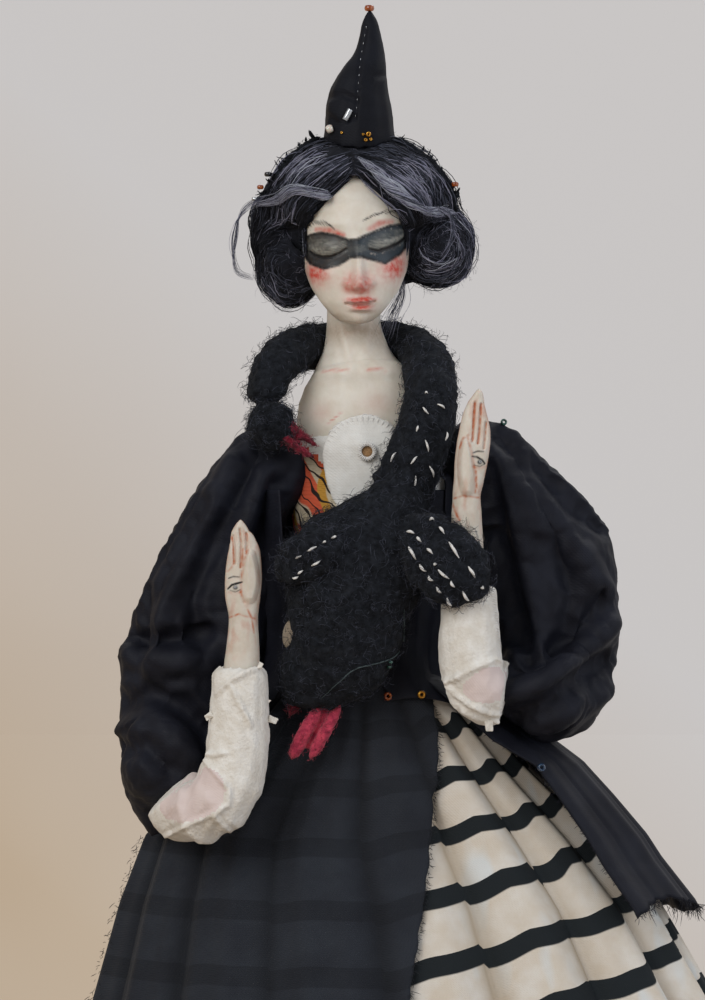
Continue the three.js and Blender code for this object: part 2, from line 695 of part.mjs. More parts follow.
// Arms. The sleeve turns with the upper arm on the coat's shoulder ball, and ends in a mouth
// where the gauntlet's elbow ball turns. The forearm swings in front of the mouth's plane.
const leftSleeveLine = [
  [-28, 0, 372, 0.1, 0.1],
  [-28, 0, 366, 11, 12],
  [-37, -1, 346, 17, 16],
  [-45, -3, 318, 21, 18],
  [-49, -4, 300, 22, 18],
  [-51, -6, 284, 21, 16],
  [-56, -9, 268, 16, 13],
  [-60, -11, 255, 9, 10],
  [-62, -11, 249, 0.1, 0.1],
];
const rightSleeveLine = [
  [38, 0, 372, 0.1, 0.1],
  [40, 0, 366, 11, 12],
  [50, -1, 356, 15, 14],
  [55, -1, 346, 19, 16],
  [57.5, -2, 330, 20.5, 17],
  [59, -2, 311, 20.5, 17],
  [58, -3, 296, 18, 15],
  [55, -3, 284, 14, 12],
  [54, -3, 277, 0.1, 0.1],
];
const leftArmLine = [
  [-29, 0, 356, 6, 6],
  [-37, -1, 338, armRadius, armRadius],
  [-45, -3, 315, armRadius, armRadius],
  [-49, -5, 292, armRadius, armRadius],
  [-51, -12, 272, armRadius, armRadius],
  [-51, -22, 261, armRadius, armRadius],
];
const rightArmLine = [
  [39, 0, 358, 6, 6],
  [46, -1, 345, armRadius - 1, armRadius - 1],
  [52, -2, 328, armRadius - 1, armRadius - 1],
  [54, -5, 310, armRadius - 1, armRadius - 1],
  [50, -12, 299, armRadius - 1, armRadius - 1],
  [42, -20, 294, armRadius - 1, armRadius - 1],
];
const leftGauntletLine = [
  [-51, -22, 261, 7, 7],
  [-46.5, -33, 259, 10, 10],
  [-39.5, -36, 263.5, 10.3, 10.3],
  [-35.5, -35.5, 275, 9.6, 9.6],
  [-34.5, -35, 290, 8.8, 8.8],
  [-34.2, -35, leftHand.cuffZ, 7.8, 7.8],
  [-34.2, -35, leftHand.cuffZ + 4, 0.1, 0.1],
];
const rightGauntletLine = [
  [42, -20, 294, 6, 6],
  [38.5, -30, 292.5, 8.6, 8.6],
  [34.5, -33.5, 297, 9.2, 9.2],
  [33, -33.5, 307, 9.3, 9.3],
  [33, -33, 317, 8.7, 8.7],
  [33, -33, rightHand.cuffZ, 7.6, 7.6],
  [33, -33, rightHand.cuffZ + 4, 0.1, 0.1],
];

/** A clay hand and forearm, standing on its foot inside the gauntlet, leaning by a few degrees. */
function handForm({ side, foot, lean, forearm }) {
  const { length, wristRadius, palm, palmDeep, thumb } = hand;
  const shape = joined(
    stuffed([
      [0, 0, 0, 0.1, 0.1],
      [0, 0, 1, wristRadius, wristRadius],
      [0, 0, hand.socket, wristRadius + 1, wristRadius + 1],
      [0, 0, forearm - 1, wristRadius, wristRadius],
      [0, 0, forearm + length * 0.2, palm - 0.3, palmDeep + 0.4],
      [0, 0, forearm + length * 0.4, palm, palmDeep],
      [0, 0, forearm + length * 0.6, palm * 0.87, palmDeep * 0.85],
      [0, 0, forearm + length * 0.8, palm * 0.62, palmDeep * 0.7],
      [0, 0, forearm + length * 0.94, palm * 0.35, palmDeep * 0.5],
      [0, 0, forearm + length, 0.1, 0.1],
    ], { around: 12, rows: 15 }),
    stuffed([
      [-side * 4, -0.5, forearm + 3, 0.1, 0.1],
      [-side * 4, -0.8, forearm + 6, thumb, thumb],
      [-side * 3.4, -2, forearm + 11, thumb, thumb],
      [-side * 2.4, -2.8, forearm + 15, thumb * 0.8, thumb * 0.8],
      [-side * 2.2, -2.8, forearm + 17, 0.1, 0.1],
    ], { around: 6, rows: 6 }),
  );
  const geometry = geometryOf(shape);
  geometry.rotateY(THREE.MathUtils.degToRad(lean));
  geometry.translate(...foot);
  return solid(geometry);
}

/** One arm: sleeve, upper arm with its wire, gauntlet and hand. */
function arm(word, joint, handPlace, sleeveLine, armLine, gauntletLine) {
  const { side, shoulder, elbow, elbowBall, mouth } = joint;
  const [x, , z] = shoulder;
  const armpitZ = z - 6;
  const shoulderRoom = ball(shoulder, shoulderBall + SWIVEL);
  const elbowRoom = ball(elbow, elbowBall + SWIVEL);
  const mouthSide = inFrontOf(elbow, mouth);
  const [innerStart, innerEnd] = side < 0 ? [x, x + FAR] : [x - FAR, x];
  const innerHalf = block([innerStart, -FAR, 0], [innerEnd, FAR, FAR + z]);
  const innerCorner = block([innerStart, -FAR, armpitZ], [innerEnd, FAR, z + FAR]);
  const wireOf = (radius) => stuffed(
    armLine.map(([px, py, pz]) => [px, py, pz, radius]),
    { around: 6, rows: 9 },
  );
  const armForm = carved(
    stuffed(armLine, { around: 10, rows: 9 }),
    shoulderRoom,
    elbowRoom,
    mouthSide,
  );
  add(`arm_wire_${word}`, carved(wireOf(armWireRadius), shoulderRoom, elbowRoom, mouthSide), steel);
  add(`upper_arm_${word}`, carved(armForm, wireOf(armWireRadius + GAP)), bodyCloth);
  add(`sleeve_${word}`, carved(
    joined(
      carved(stuffed(sleeveLine, { around: 14, rows: 11 }), above(z), innerCorner),
      carved(ball(shoulder, sleeveCap), innerHalf),
    ),
    shoulderRoom,
    grown(torsoForm, coat.clear + coat.thick + GAP),
    grown(armForm, GAP),
    elbowRoom,
    mouthSide,
    skirtRoom,
  ), sateen);
  const handSolid = add(`hand_${word}`, handForm(handPlace), clay);
  add(`gauntlet_${word}`, carved(
    joined(
      ball(elbow, elbowBall),
      carved(stuffed(gauntletLine, { around: 12, rows: 10 }), above(handPlace.cuffZ)),
    ),
    grown(handSolid, GAP),
  ), leather);
}
arm('left', leftArm, leftHand, leftSleeveLine, leftArmLine, leftGauntletLine);
arm('right', rightArm, rightHand, rightSleeveLine, rightArmLine, rightGauntletLine);

// Swan stole: the neck goes round behind the doll's neck, the body hangs at the waist
const dressRooms = [
  grown(coatForm, GAP),
  grown(bodiceForm, GAP),
  grown(torsoForm, GAP),
  grown(plateForm, GAP),
  grown(patchSolid, 2 * GAP),
  skirtRoom,
];
const swanHeadForm = ellipsoid(swanHead, swanHead.wide, swanHead.deep, swanHead.tall);
const swanBody = carved(stuffed([
  [6, -23, 358, 0.1, 0.1],
  [5, -24, 350, 12, 9],
  [2, -27, 334, 19, 14],
  [0, -28, 318, 20, 15],
  [-3, -28, 304, 16, 12],
  [-7, -27, 293, 9, 7],
  [-9, -27, 286, 0.1, 0.1],
], { around: 14, rows: 12 }), ...dressRooms);
add('swan_body', swanBody, felt);
const swanBodyRoom = grown(swanBody, GAP);
const swanNeckLine = [
  [-26, -15, 375, 4],
  [-27, -12.5, 385, 6.6],
  [-21, -4, 394.5, 6.8],
  [-12, 10, 397.5, 7],
  [-1, 18, 398, 7],
  [11, 12, 398, 7],
  [19.5, 0, 394, 7.6],
  [22, -10, 385, 8.2],
  [21, -15.5, 375, 8.6],
  [17.5, -18, 364, 9],
  [13, -20, 354, 9.5],
  [9, -21, 347, 4],
];
const swanNeck = carved(
  stuffed(swanNeckLine, { around: 9, rows: 18, across: null }),
  grown(swanHeadForm, GAP),
  swanBodyRoom,
  ball(leftArm.shoulder, sleeveCap + GAP),
  ball(rightArm.shoulder, sleeveCap + GAP),
  ...dressRooms,
);
add('swan_neck', swanNeck, felt);
add('swan_head', carved(
  swanHeadForm,
  ball(leftArm.shoulder, sleeveCap + GAP),
  ...dressRooms,
), felt);
const swanHeadRoom = grown(swanHeadForm, GAP);
const beakUpper = carved(stuffed([
  [-24, -18, 375.5, 0.1],
  [-22, -19, 374, 2],
  [-17, -17.5, 370.3, 1.7],
  [-12.5, -15, 367.2, 0.9],
  [-11, -14.5, 366.3, 0.1],
], { around: 8, rows: 8, across: null }), swanHeadRoom);
add('swan_beak_upper', beakUpper, redFelt);
add('swan_beak_lower', carved(stuffed([
  [-26, -19, 372, 0.1],
  [-23.5, -20, 370.6, 1.7],
  [-18, -18.5, 366.8, 1.4],
  [-14, -16.2, 364.3, 0.8],
  [-12.5, -15.8, 363.5, 0.1],
], { around: 8, rows: 8, across: null }), swanHeadRoom, grown(beakUpper, GAP)), redFelt);

// Wings, flat lobes from the body's front, and the feet below
add('swan_wing_left', carved(stuffed([
  [-1, -41.5, 337, 0.1, 0.1],
  [-5, -41.5, 337, 6, wingThick],
  [-12, -38.5, 336.5, 9, wingThick],
  [-19, -33, 335, 8, wingThick],
  [-23, -29.5, 333, 0.1, 0.1],
], { around: 10, rows: 8, across: Z_AXIS }), swanBodyRoom), felt);
add('swan_wing_right', carved(stuffed([
  [4, -42.5, 334, 0.1, 0.1],
  [10, -43.5, 334, 8, wingThick],
  [18, -45.5, 333, 12, wingThick],
  [28, -46.5, 331, 13, wingThick],
  [36, -46.5, 327, 9, wingThick],
  [40.5, -46, 323, 0.1, 0.1],
], { around: 10, rows: 10, across: Z_AXIS }), swanBodyRoom), felt);
add('swan_foot_left', carved(stuffed([
  [-9, -25, 300, 0.1],
  [-13, -25.5, 297, 2.2],
  [-18, -24, 291, 2.4],
  [-20.5, -23, 286.5, 0.1],
], { around: 8, rows: 7 }), swanBodyRoom, ...dressRooms), redFelt);
add('swan_foot_right', carved(stuffed([
  [-8, -27, 292, 0.1, 0.1],
  [-9.5, -28, 287, 3, 1.8],
  [-12, -27.5, 280, 6.5, 1.8],
  [-13.5, -28, 274, 0.1, 0.1],
], { around: 8, rows: 7 }), swanBodyRoom, ...dressRooms), coralFelt);

// Loose beads sewn to the clothes
const onCloth = (cloth, degrees, z) =>
  skirtPoint(degrees, z, clothLift(cloth, z) + cloth.thick + sewnBead + 2 * GAP).toArray();
add('bead_copper', ball(onCloth(panel, -80, 293), sewnBead, 6), amberGlass);
add('bead_gold', ball(onCloth(panel, -59, 290), sewnBead, 6), gold);
add('bead_blue', ball(onCloth(tail, -20, 268), sewnBead, 6), blueGlass);
const capPoint = (direction, radius) => {
  const reach = sleeveCap + GAP / 2 + radius;
  return point(direction).normalize().multiplyScalar(reach).add(point(rightArm.shoulder)).toArray();
};
add('bead_green', ball(capPoint([5.5, -5, 12.5], beadRadius), beadRadius, 6), greenGlass);

export default doll;
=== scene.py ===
"""The looks of a standing art doll: clay head and hands, wool hair, pointed hat, black coat,
felt swan stole and striped skirt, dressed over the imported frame.

The frame is in metres, with X across the doll, -Y its front and +Z up. Sizes here are written in
millimetres, as a doll maker would cut them, and turned to metres where a mesh is made. Left and
right are as seen from the front, so left is -X.
"""

from __future__ import annotations

import logging
import math
from collections.abc import Callable, Sequence
from dataclasses import dataclass, field
from enum import Enum
from functools import cache

import bmesh
import bpy
import numpy as np
from mathutils import Matrix, Vector, noise
from mathutils.bvhtree import BVHTree


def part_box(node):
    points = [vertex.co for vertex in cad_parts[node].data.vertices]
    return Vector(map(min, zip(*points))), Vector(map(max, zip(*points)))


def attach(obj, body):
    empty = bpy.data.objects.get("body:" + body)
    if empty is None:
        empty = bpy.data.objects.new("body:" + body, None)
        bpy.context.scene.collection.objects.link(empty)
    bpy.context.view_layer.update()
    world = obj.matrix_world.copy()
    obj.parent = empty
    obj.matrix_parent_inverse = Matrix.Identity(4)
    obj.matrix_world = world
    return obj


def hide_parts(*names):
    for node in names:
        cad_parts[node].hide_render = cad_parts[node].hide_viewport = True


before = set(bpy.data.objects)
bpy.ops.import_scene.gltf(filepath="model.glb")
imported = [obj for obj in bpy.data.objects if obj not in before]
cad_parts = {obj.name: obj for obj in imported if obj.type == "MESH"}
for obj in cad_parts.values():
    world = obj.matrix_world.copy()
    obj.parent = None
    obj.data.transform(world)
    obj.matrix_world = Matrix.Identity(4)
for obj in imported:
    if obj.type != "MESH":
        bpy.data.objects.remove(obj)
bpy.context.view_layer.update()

log = logging.getLogger("doll")
MM = 0.001
Socket = bpy.types.NodeSocket
Tree = bpy.types.NodeTree
Piece = bpy.types.Object
BMesh = bmesh.types.BMesh
Pair = tuple[float, float]
Triple = tuple[float, float, float]
Line = tuple[Pair, ...]
Rows = tuple[tuple[float, ...], ...]


def linear(colour: str) -> tuple[float, float, float, float]:
    """Turns an sRGB hex value to linear colour.

    Args:
        colour: The value, such as "#d3cabd".

    Returns:
        Red, green, blue and an alpha of 1.
    """
    shares = [int(colour[i : i + 2], 16) / 255 for i in (1, 3, 5)]
    bent = [s / 12.92 if s <= 0.04045 else ((s + 0.055) / 1.055) ** 2.4 for s in shares]
    return (*bent, 1.0)


def add_node(tree: Tree, kind: str, inputs: dict | None = None, **settings: object) -> bpy.types.Node:
    """Adds a node to a tree.

    Args:
        tree: The material's node tree.
        kind: The node's type, such as "ShaderNodeMix".
        inputs: For each input, by name or number, the value or the output that feeds it.
        settings: The node's own settings.

    Returns:
        The node.
    """
    node = tree.nodes.new(kind)
    for name, value in settings.items():
        setattr(node, name, value)
    for name, value in (inputs or {}).items():
        if isinstance(value, Socket):
            tree.links.new(value, node.inputs[name])
        else:
            node.inputs[name].default_value = value
    return node


def sum_node(tree: Tree, operation: str, *values: Socket | float, **settings: object) -> Socket:
    """Adds a node that works out one number from others, and returns the number."""
    inputs = dict(enumerate(values))
    return add_node(tree, "ShaderNodeMath", inputs, operation=operation, **settings).outputs[0]


def laid_over(tree: Tree, share: Socket, ground: Socket | tuple, colour: Socket | tuple) -> Socket:
    """Lays a colour over a ground by a share from 0 to 1."""
    return add_node(tree, "ShaderNodeMix", {0: share, 6: ground, 7: colour}, data_type="RGBA").outputs[2]


def ramp(tree: Tree, value: Socket, low: float, high: float, first: float = 0.0, last: float = 1.0) -> Socket:
    """Turns a value between low and high to one between first and last, and holds it there."""
    inputs = {"Value": value, "From Min": low, "From Max": high, "To Min": first, "To Max": last}
    return add_node(tree, "ShaderNodeMapRange", inputs).outputs[0]


def patches(tree: Tree, place: Socket, scale: float, detail: float, rough: float = 0.5) -> Socket:
    """Makes soft random patches, from 0 to 1."""
    inputs = {"Vector": place, "Scale": scale, "Detail": detail, "Roughness": rough}
    return add_node(tree, "ShaderNodeTexNoise", inputs).outputs["Fac"]


def waves(
    tree: Tree, place: Socket, scale: float, sway: float, detail: float, fine: float, **settings: str
) -> Socket:
    """Makes swaying bands, from 0 to 1."""
    inputs = {"Vector": place, "Scale": scale, "Distortion": sway, "Detail": detail, "Detail Scale": fine}
    return add_node(tree, "ShaderNodeTexWave", inputs, **settings).outputs["Fac"]


def attribute(tree: Tree, name: str) -> Socket:
    """Reads what a piece holds under a name, such as how thick a wash of paint lies."""
    return add_node(tree, "ShaderNodeAttribute", attribute_name=name).outputs["Fac"]


@dataclass(frozen=True)
class Finish:
    """A surface: two close colours in soft patches, with a fine grain in its height.

    The shader's constants (gloss, sheen, coat, glassiness) are set on its own sockets.
    """

    name: str
    colour: str
    shade: str
    roughness: float
    patch_mm: float = 6.0
    grain_mm: float = 0.6
    relief: float = 0.25
    sheen: float = 0.0
    metallic: float = 0.0
    coat: float = 0.0
    clear: float = 0.0
    subsurface: float = 0.0
    gloss: float = 0.5

    def tint(self, tree: Tree, place: Socket) -> Socket:
        """Mixes the two colours by soft patches.

        Args:
            tree: The material's node tree.
            place: The position on the piece, in metres.

        Returns:
            The colour.
        """
        soft = patches(tree, place, 1 / (self.patch_mm * MM), 4.0, 0.6)
        return laid_over(tree, ramp(tree, soft, 0.35, 0.65), linear(self.colour), linear(self.shade))

    def height(self, tree: Tree, place: Socket) -> Socket:
        """Gives the grain's height, from 0 to 1."""
        return patches(tree, place, 1 / (self.grain_mm * MM), 3.0)

    @cache
    def material(self) -> bpy.types.Material:
        """Makes the material once, and returns the same one after that."""
        made = bpy.data.materials.new(self.name)
        made.use_nodes = True
        tree = made.node_tree
        tree.nodes.clear()
        place = add_node(tree, "ShaderNodeTexCoord").outputs["Object"]
        bump = add_node(
            tree,
            "ShaderNodeBump",
            {"Height": self.height(tree, place), "Strength": self.relief, "Distance": self.grain_mm * MM},
        )
        shader = add_node(
            tree,
            "ShaderNodeBsdfPrincipled",
            {
                "Base Color": self.tint(tree, place),
                "Normal": bump.outputs["Normal"],
                "Roughness": self.roughness,
                "Metallic": self.metallic,
                "Sheen Weight": self.sheen,
                "Sheen Roughness": 0.5,
                "Coat Weight": self.coat,
                "Coat Roughness": 0.15,
                "Transmission Weight": self.clear,
                "Subsurface Weight": self.subsurface,
                "Subsurface Scale": 0.002,
                "Specular IOR Level": self.gloss,
            },
        )
        add_node(tree, "ShaderNodeOutputMaterial", {"Surface": shader.outputs[0]})
        return made


@dataclass(frozen=True)
class Woven(Finish):
    """Plain-woven cloth. Real threads are 0.2 to 0.3 mm, and are drawn a little coarser to show."""

    thread_mm: float = 0.5

    def height(self, tree: Tree, place: Socket) -> Socket:
        """Gives the height of threads that cross, with the odd thicker one."""
        scale = 1 / (self.thread_mm * MM) / 3.2
        threads = [
            waves(tree, place, scale, 1.2, 2.0, 0.4, bands_direction=way) for way in ("DIAGONAL", "Z")
        ]
        return sum_node(tree, "MULTIPLY", *threads)


@dataclass(frozen=True)
class Banded(Woven):
    """Woven cloth with crosswise bands, which follow how far down the cloth a point is."""

    band: str = "#23282b"
    pitch_mm: float = 20.3
    band_share: float = 0.31
    soft_edge: float = 0.012
    offset_mm: float = 3.0
    strength: float = 1.0
    # The colour of the painted shade laid in the valleys between folds.
    valley: str = "#aa9b86"
    cool: str = "#d3dbde"

    def tint(self, tree: Tree, place: Socket) -> Socket:
        """Draws the bands over the cloth's own colours, faint lengthwise coloured threads, and painted shade
        in the folds' valleys.
        """
        ground = super().tint(tree, place)
        dyed = add_node(tree, "ShaderNodeMapping", {"Vector": place, "Scale": (1.0, 1.0, 0.22)})
        pale = ramp(tree, patches(tree, dyed.outputs[0], 110.0, 1.0), 0.55, 0.7, last=0.6)
        # Faint pale lengthwise threads, then painted shade in the folds' valleys.
        for share, colour in ((pale, self.cool), (attribute(tree, "valley"), self.valley)):
            ground = laid_over(tree, share, ground, linear(colour))
        start = sum_node(tree, "ADD", attribute(tree, "down"), self.offset_mm * MM)
        turns = sum_node(tree, "MULTIPLY", start, 1 / (self.pitch_mm * MM))
        share = sum_node(tree, "FRACT", turns)
        low, high = self.band_share - self.soft_edge, self.band_share + self.soft_edge
        edge = ramp(tree, share, low, high, self.strength, 0.0)
        return laid_over(tree, edge, ground, linear(self.band))


@dataclass(frozen=True)
class Printed(Woven):
    """Cotton with a small generic print: curved plume strokes in coral, ochre and black on cream."""

    plume: str = "#c95a3e"
    accent: str = "#b98a3a"
    outline: str = "#2a221f"

    def tint(self, tree: Tree, place: Socket) -> Socket:
        """Lays the plume strokes, the accents and their outlines over the ground."""
        colour = super().tint(tree, place)
        layers = (
            (self.plume, 10.0, 0.24, 0.34, (0.0, 0.75, 0.2)),
            (self.accent, 13.0, 0.93, 0.96, (0.7, 0.2, -0.5)),
            (self.outline, 3.4, 0.90, 0.95, (0.1, 0.9, 0.3)),
        )
        for paint, width, low, high, turn in layers:
            turned = add_node(tree, "ShaderNodeMapping", {"Vector": place, "Rotation": turn}).outputs[0]
            strokes = waves(tree, turned, 0.3 / (width * MM), 7.0, 1.0, 1.5)
            colour = laid_over(tree, ramp(tree, strokes, low, high), colour, linear(paint))
        return colour


@dataclass(frozen=True)
class Painted(Finish):
    """Polished clay under thin washes of paint, each held by the piece in an attribute; the warm brown wash
    also carries painted shade.
    """

    brush_mm: float = 1.1
    washes: tuple[tuple[str, str, float], ...] = (
        # A warm brown paint, which on the face and the neck also lays painted shade.
        ("umber", "#86623c", 0.8),
        ("sienna", "#b4561b", 0.95),
        ("coral", "#c5301d", 1.0),
        ("slate", "#28323a", 1.5),
        ("warm_slate", "#33291f", 0.9),
        ("lid", "#a3a298", 0.9),
        ("ink", "#120f10", 1.3),
    )

    def tint(self, tree: Tree, place: Socket) -> Socket:
        """Lays each wash over the clay, thinner and thicker as a brush leaves it."""
        colour = super().tint(tree, place)
        brush = patches(tree, place, 1 / (self.brush_mm * MM), 5.0, 0.7)
        thickness = ramp(tree, brush, 0.3, 0.6, first=0.6)
        for name, paint, cover in self.washes:
            uneven = sum_node(tree, "MULTIPLY", attribute(tree, name), thickness)
            share = sum_node(tree, "MULTIPLY", uneven, cover, use_clamp=True)
            colour = laid_over(tree, share, colour, linear(paint))
        return colour


@dataclass(frozen=True)
class TurnedWood(Finish):
    """Turned and oiled wood, with growth rings that show as grain along the faces."""

    ring_mm: float = 2.4

    def tint(self, tree: Tree, place: Socket) -> Socket:
        """Draws the rings of a board whose heart lies below and behind the piece."""
        board = add_node(tree, "ShaderNodeMapping", {"Vector": place, "Location": (0.05, 0.04, 0.06)})
        rings = waves(
            tree, board.outputs[0], 0.3 / (self.ring_mm * MM), 3.0, 3.0, 1.5,
            wave_type="RINGS", rings_direction="X",
        )
        return laid_over(tree, rings, linear(self.colour), linear(self.shade))


# Polished air-dry clay: warm ivory with faint darker patches, a soft gloss from sanding and wax.
IVORY_CLAY = Painted(
    "waxed_ivory_clay", "#ddd7cb", "#d3cabb", 0.42, 5.0, 0.5, 0.06, coat=0.05, subsurface=0.06, gloss=0.3
)
# Felted and combed wool: hardly any gloss, fine fibres in its height, blue-black to violet-grey.
BLACK_WOOL = Finish("combed_black_wool", "#15161b", "#22242c", 0.9, 3.0, 0.35, 0.9, sheen=0.04, gloss=0.12)
CHARCOAL_WOOL = Finish("charcoal_wool", "#363946", "#484c5a", 0.8, 3.0, 0.35, 0.5, sheen=0.08, gloss=0.2)
GREY_WOOL = Finish("combed_grey_wool", "#73748a", "#9494a6", 0.75, 3.0, 0.35, 0.5, sheen=0.15, gloss=0.25)
PALE_WOOL = Finish("pale_wool", "#9ca1b0", "#b7bcc8", 0.7, 3.0, 0.35, 0.4, sheen=0.15, gloss=0.3)
BLACK_FELT = Finish("wet_felted_black", "#14161a", "#26292f", 0.95, 1.8, 0.5, 1.0, sheen=0.03, gloss=0.1)
RED_FELT = Finish("crimson_felt", "#8a1f33", "#4a1520", 0.92, 2.0, 0.5, 0.9, sheen=0.2, gloss=0.15)
CORAL_FELT = Finish("rose_felt", "#c4455a", "#8f2740", 0.92, 2.0, 0.5, 0.9, sheen=0.2, gloss=0.15)
# Cotton satin and sateen: long floating threads give a soft highlight, black with a blue cast.
BLACK_SATIN = Woven("cotton_satin", "#101117", "#171920", 0.6, 9.0, 0.4, 0.2, gloss=0.12, thread_mm=0.45)
BLACK_SATEEN = Woven("cotton_sateen", "#14151d", "#1d1f28", 0.6, 12.0, 0.4, 0.2, gloss=0.15, thread_mm=0.5)
# Thin black voile over the striped cotton, so that the bands show through as faint steps, with painted shade
# darkening its folds' valleys.
SHEER_VOILE = Banded(
    "sheer_voile", "#24272e", "#2b2f36", 0.75, 14.0, 0.4, 0.4, sheen=0.05, gloss=0.15, thread_mm=0.5,
    band="#14161b", strength=0.4, valley="#15171c", cool="#2a2e35",
)
# Printed-stripe cotton: matte, cream ground with charcoal bands as wide as a third of the pitch, and a
# painted tan shade in its folds' valleys.
STRIPED_COTTON = Banded(
    "banded_cotton", "#d9d3c9", "#cfc4b4", 0.88, 9.0, 0.4, 0.25, gloss=0.2, thread_mm=0.45, band="#1f2427"
)
PRINTED_COTTON = Printed(
    "plume_print_cotton", "#c9bda6", "#b6a88d", 0.88, 5.0, 0.4, 0.4, gloss=0.2, thread_mm=0.6
)
WHITE_LINEN = Woven("bleached_linen", "#e6e6e2", "#dcdad4", 0.9, 4.0, 0.4, 0.3, gloss=0.2, thread_mm=0.45)
# Soft white suede, pieced and wrinkled, a little grey in soft random patches.
WHITE_LEATHER = Finish("white_suede", "#e9e6df", "#dad4c9", 0.8, 4.0, 0.9, 0.5, sheen=0.1, gloss=0.25)
PINK_COTTON = Woven("pink_cotton", "#dfd0cb", "#d6c5c0", 0.8, 9.0, 0.5, 0.2, gloss=0.3, thread_mm=0.4)
BODY_COTTON = Woven("body_cotton", "#d9cfc2", "#cbbfaf", 0.88, 9.0, 0.5, 0.4, thread_mm=0.5)
TAN_COTTON = Woven("tan_cotton", "#a8845c", "#96734d", 0.88, 9.0, 0.5, 0.4, thread_mm=0.5)
SCRAP_COTTON = Woven("scrap_cotton", "#988c7c", "#857866", 0.9, 9.0, 0.5, 0.4, thread_mm=0.5)
WHITE_THREAD = Finish("white_thread", "#eceae6", "#d8d6d2", 0.6, 1.0, 0.25, 0.4)
DARK_THREAD = Finish("dark_thread", "#3a4648", "#4a585a", 0.7, 1.0, 0.25, 0.4)
DRAWN_STEEL = Finish("drawn_steel", "#a2a7ac", "#8d9297", 0.35, 3.0, 0.3, 0.1, metallic=1.0)
OILED_WOOD = TurnedWood("oiled_wood", "#94683f", "#6e4626", 0.5, 8.0, 0.5, 0.2, coat=0.15)
AMBER_GLASS = Finish("amber_bead_glass", "#c1661f", "#8f3d12", 0.08, 1.0, 0.5, 0.05, coat=0.5, clear=0.35)
GOLD_GLASS = Finish("gold_glass", "#d29a2c", "#a36c18", 0.18, 1.0, 0.5, 0.05, metallic=0.7, coat=0.4)
BLUE_GLASS = Finish("blue_bead_glass", "#31506f", "#1d3350", 0.08, 1.0, 0.5, 0.05, coat=0.5, clear=0.3)
GREEN_GLASS = Finish("green_bead_glass", "#2c6257", "#173d34", 0.08, 1.0, 0.5, 0.05, coat=0.5, clear=0.3)
BLACK_GLASS = Finish("black_glass", "#0d0e10", "#16181b", 0.1, 1.0, 0.5, 0.05, coat=0.5)
SILVER_GLASS = Finish("silver_glass", "#c9cccf", "#a3a7aa", 0.12, 1.0, 0.5, 0.05, metallic=0.6, coat=0.5)
PEARL = Finish("pearl", "#dcd6ca", "#c9c0b4", 0.2, 1.5, 0.5, 0.05, coat=0.6, subsurface=0.1)


class Place(Enum):
    """The body that a piece moves with."""

    DOLL = "doll"
    HEAD = "head"
    NECK = "neck_pivot"
    ARM_LEFT = "arm_left"
    ARM_RIGHT = "arm_right"
    FOREARM_LEFT = "forearm_left"
    FOREARM_RIGHT = "forearm_right"
    PALM_LEFT = "palm_left"
    PALM_RIGHT = "palm_right"


def piece_of(name: str, mesh: bpy.types.Mesh, finishes: Sequence[Finish]) -> Piece:
    """Makes a smooth-shaded object of a mesh, with its materials, at the origin.

    Args:
        name: The piece's name.
        mesh: Its mesh, in the frame's metres.
        finishes: Its finishes, in the order of the mesh's material numbers.

    Returns:
        The object.
    """
    mesh.name = name
    # Clearing the materials would put every face's number back to 0, so the numbers are kept.
    numbers = np.zeros(len(mesh.polygons), dtype=np.int32)
    mesh.polygons.foreach_get("material_index", numbers)
    mesh.materials.clear()
    for finish in finishes:
        mesh.materials.append(finish.material())
    mesh.polygons.foreach_set("material_index", numbers)
    mesh.polygons.foreach_set("use_smooth", [True] * len(mesh.polygons))
    piece = bpy.data.objects.new(name, mesh)
    bpy.context.scene.collection.objects.link(piece)
    return piece


def from_bmesh(name: str, bm: BMesh, finishes: Sequence[Finish]) -> Piece:
    """Makes an object of a bmesh and frees it."""
    mesh = bpy.data.meshes.new(name)
    bm.to_mesh(mesh)
    bm.free()
    return piece_of(name, mesh, finishes)


def settle(piece: Piece, place: Place, slot: str, *nodes: str) -> Piece:
    """Has a piece ride on its body and stand for its CAD nodes, which are hidden."""
    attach(piece, place.value)
    if nodes:
        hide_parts(*nodes)
    log.info("%s rides on %s", piece.name, place.value)
    return piece


def smooth(bm: BMesh) -> None:
    """Smooths all points of a bmesh by one half step."""
    axes = {f"use_axis_{axis}": True for axis in "xyz"}
    bmesh.ops.smooth_vert(bm, verts=bm.verts, factor=0.5, **axes)


def evened(name: str, bm: BMesh, finish: Finish, voxel_mm: float, rounds: int) -> Piece:
    """Melts all the closed forms of a bmesh into one evenly faced, smooth piece.

    Args:
        name: The new piece's name.
        bm: The forms, which are freed.
        finish: Its finish.
        voxel_mm: The size of its faces.
        rounds: How often its points are smoothed.

    Returns:
        The new object.
    """
    rough = from_bmesh(name + "_rough", bm, [finish])
    even = rough.modifiers.new("even", "REMESH")
    even.mode = "VOXEL"
    even.voxel_size = voxel_mm * MM
    mesh = bpy.data.meshes.new_from_object(rough.evaluated_get(bpy.context.evaluated_depsgraph_get()))
    bpy.data.objects.remove(rough)
    bm = bmesh.new()
    bm.from_mesh(mesh)
    for _ in range(rounds):
        smooth(bm)
    return from_bmesh(name, bm, [finish])


def remeshed(name: str, node: str, finish: Finish, voxel_mm: float, rounds: int = 6) -> Piece:
    """Copies a CAD solid, remeshes it evenly and smooths its facets away."""
    bm = bmesh.new()
    bm.from_mesh(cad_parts[node].data)
    bmesh.ops.remove_doubles(bm, verts=bm.verts, dist=1e-6)
    return evened(name, bm, finish, voxel_mm, rounds)


def melded(name: str, forms: Sequence[Piece], finish: Finish, voxel_mm: float, rounds: int = 4) -> Piece:
    """Melts several forms into one piece, and removes them."""
    bm = bmesh.new()
    for form in forms:
        bm.from_mesh(form.data)
        bpy.data.objects.remove(form)
    return evened(name, bm, finish, voxel_mm, rounds)


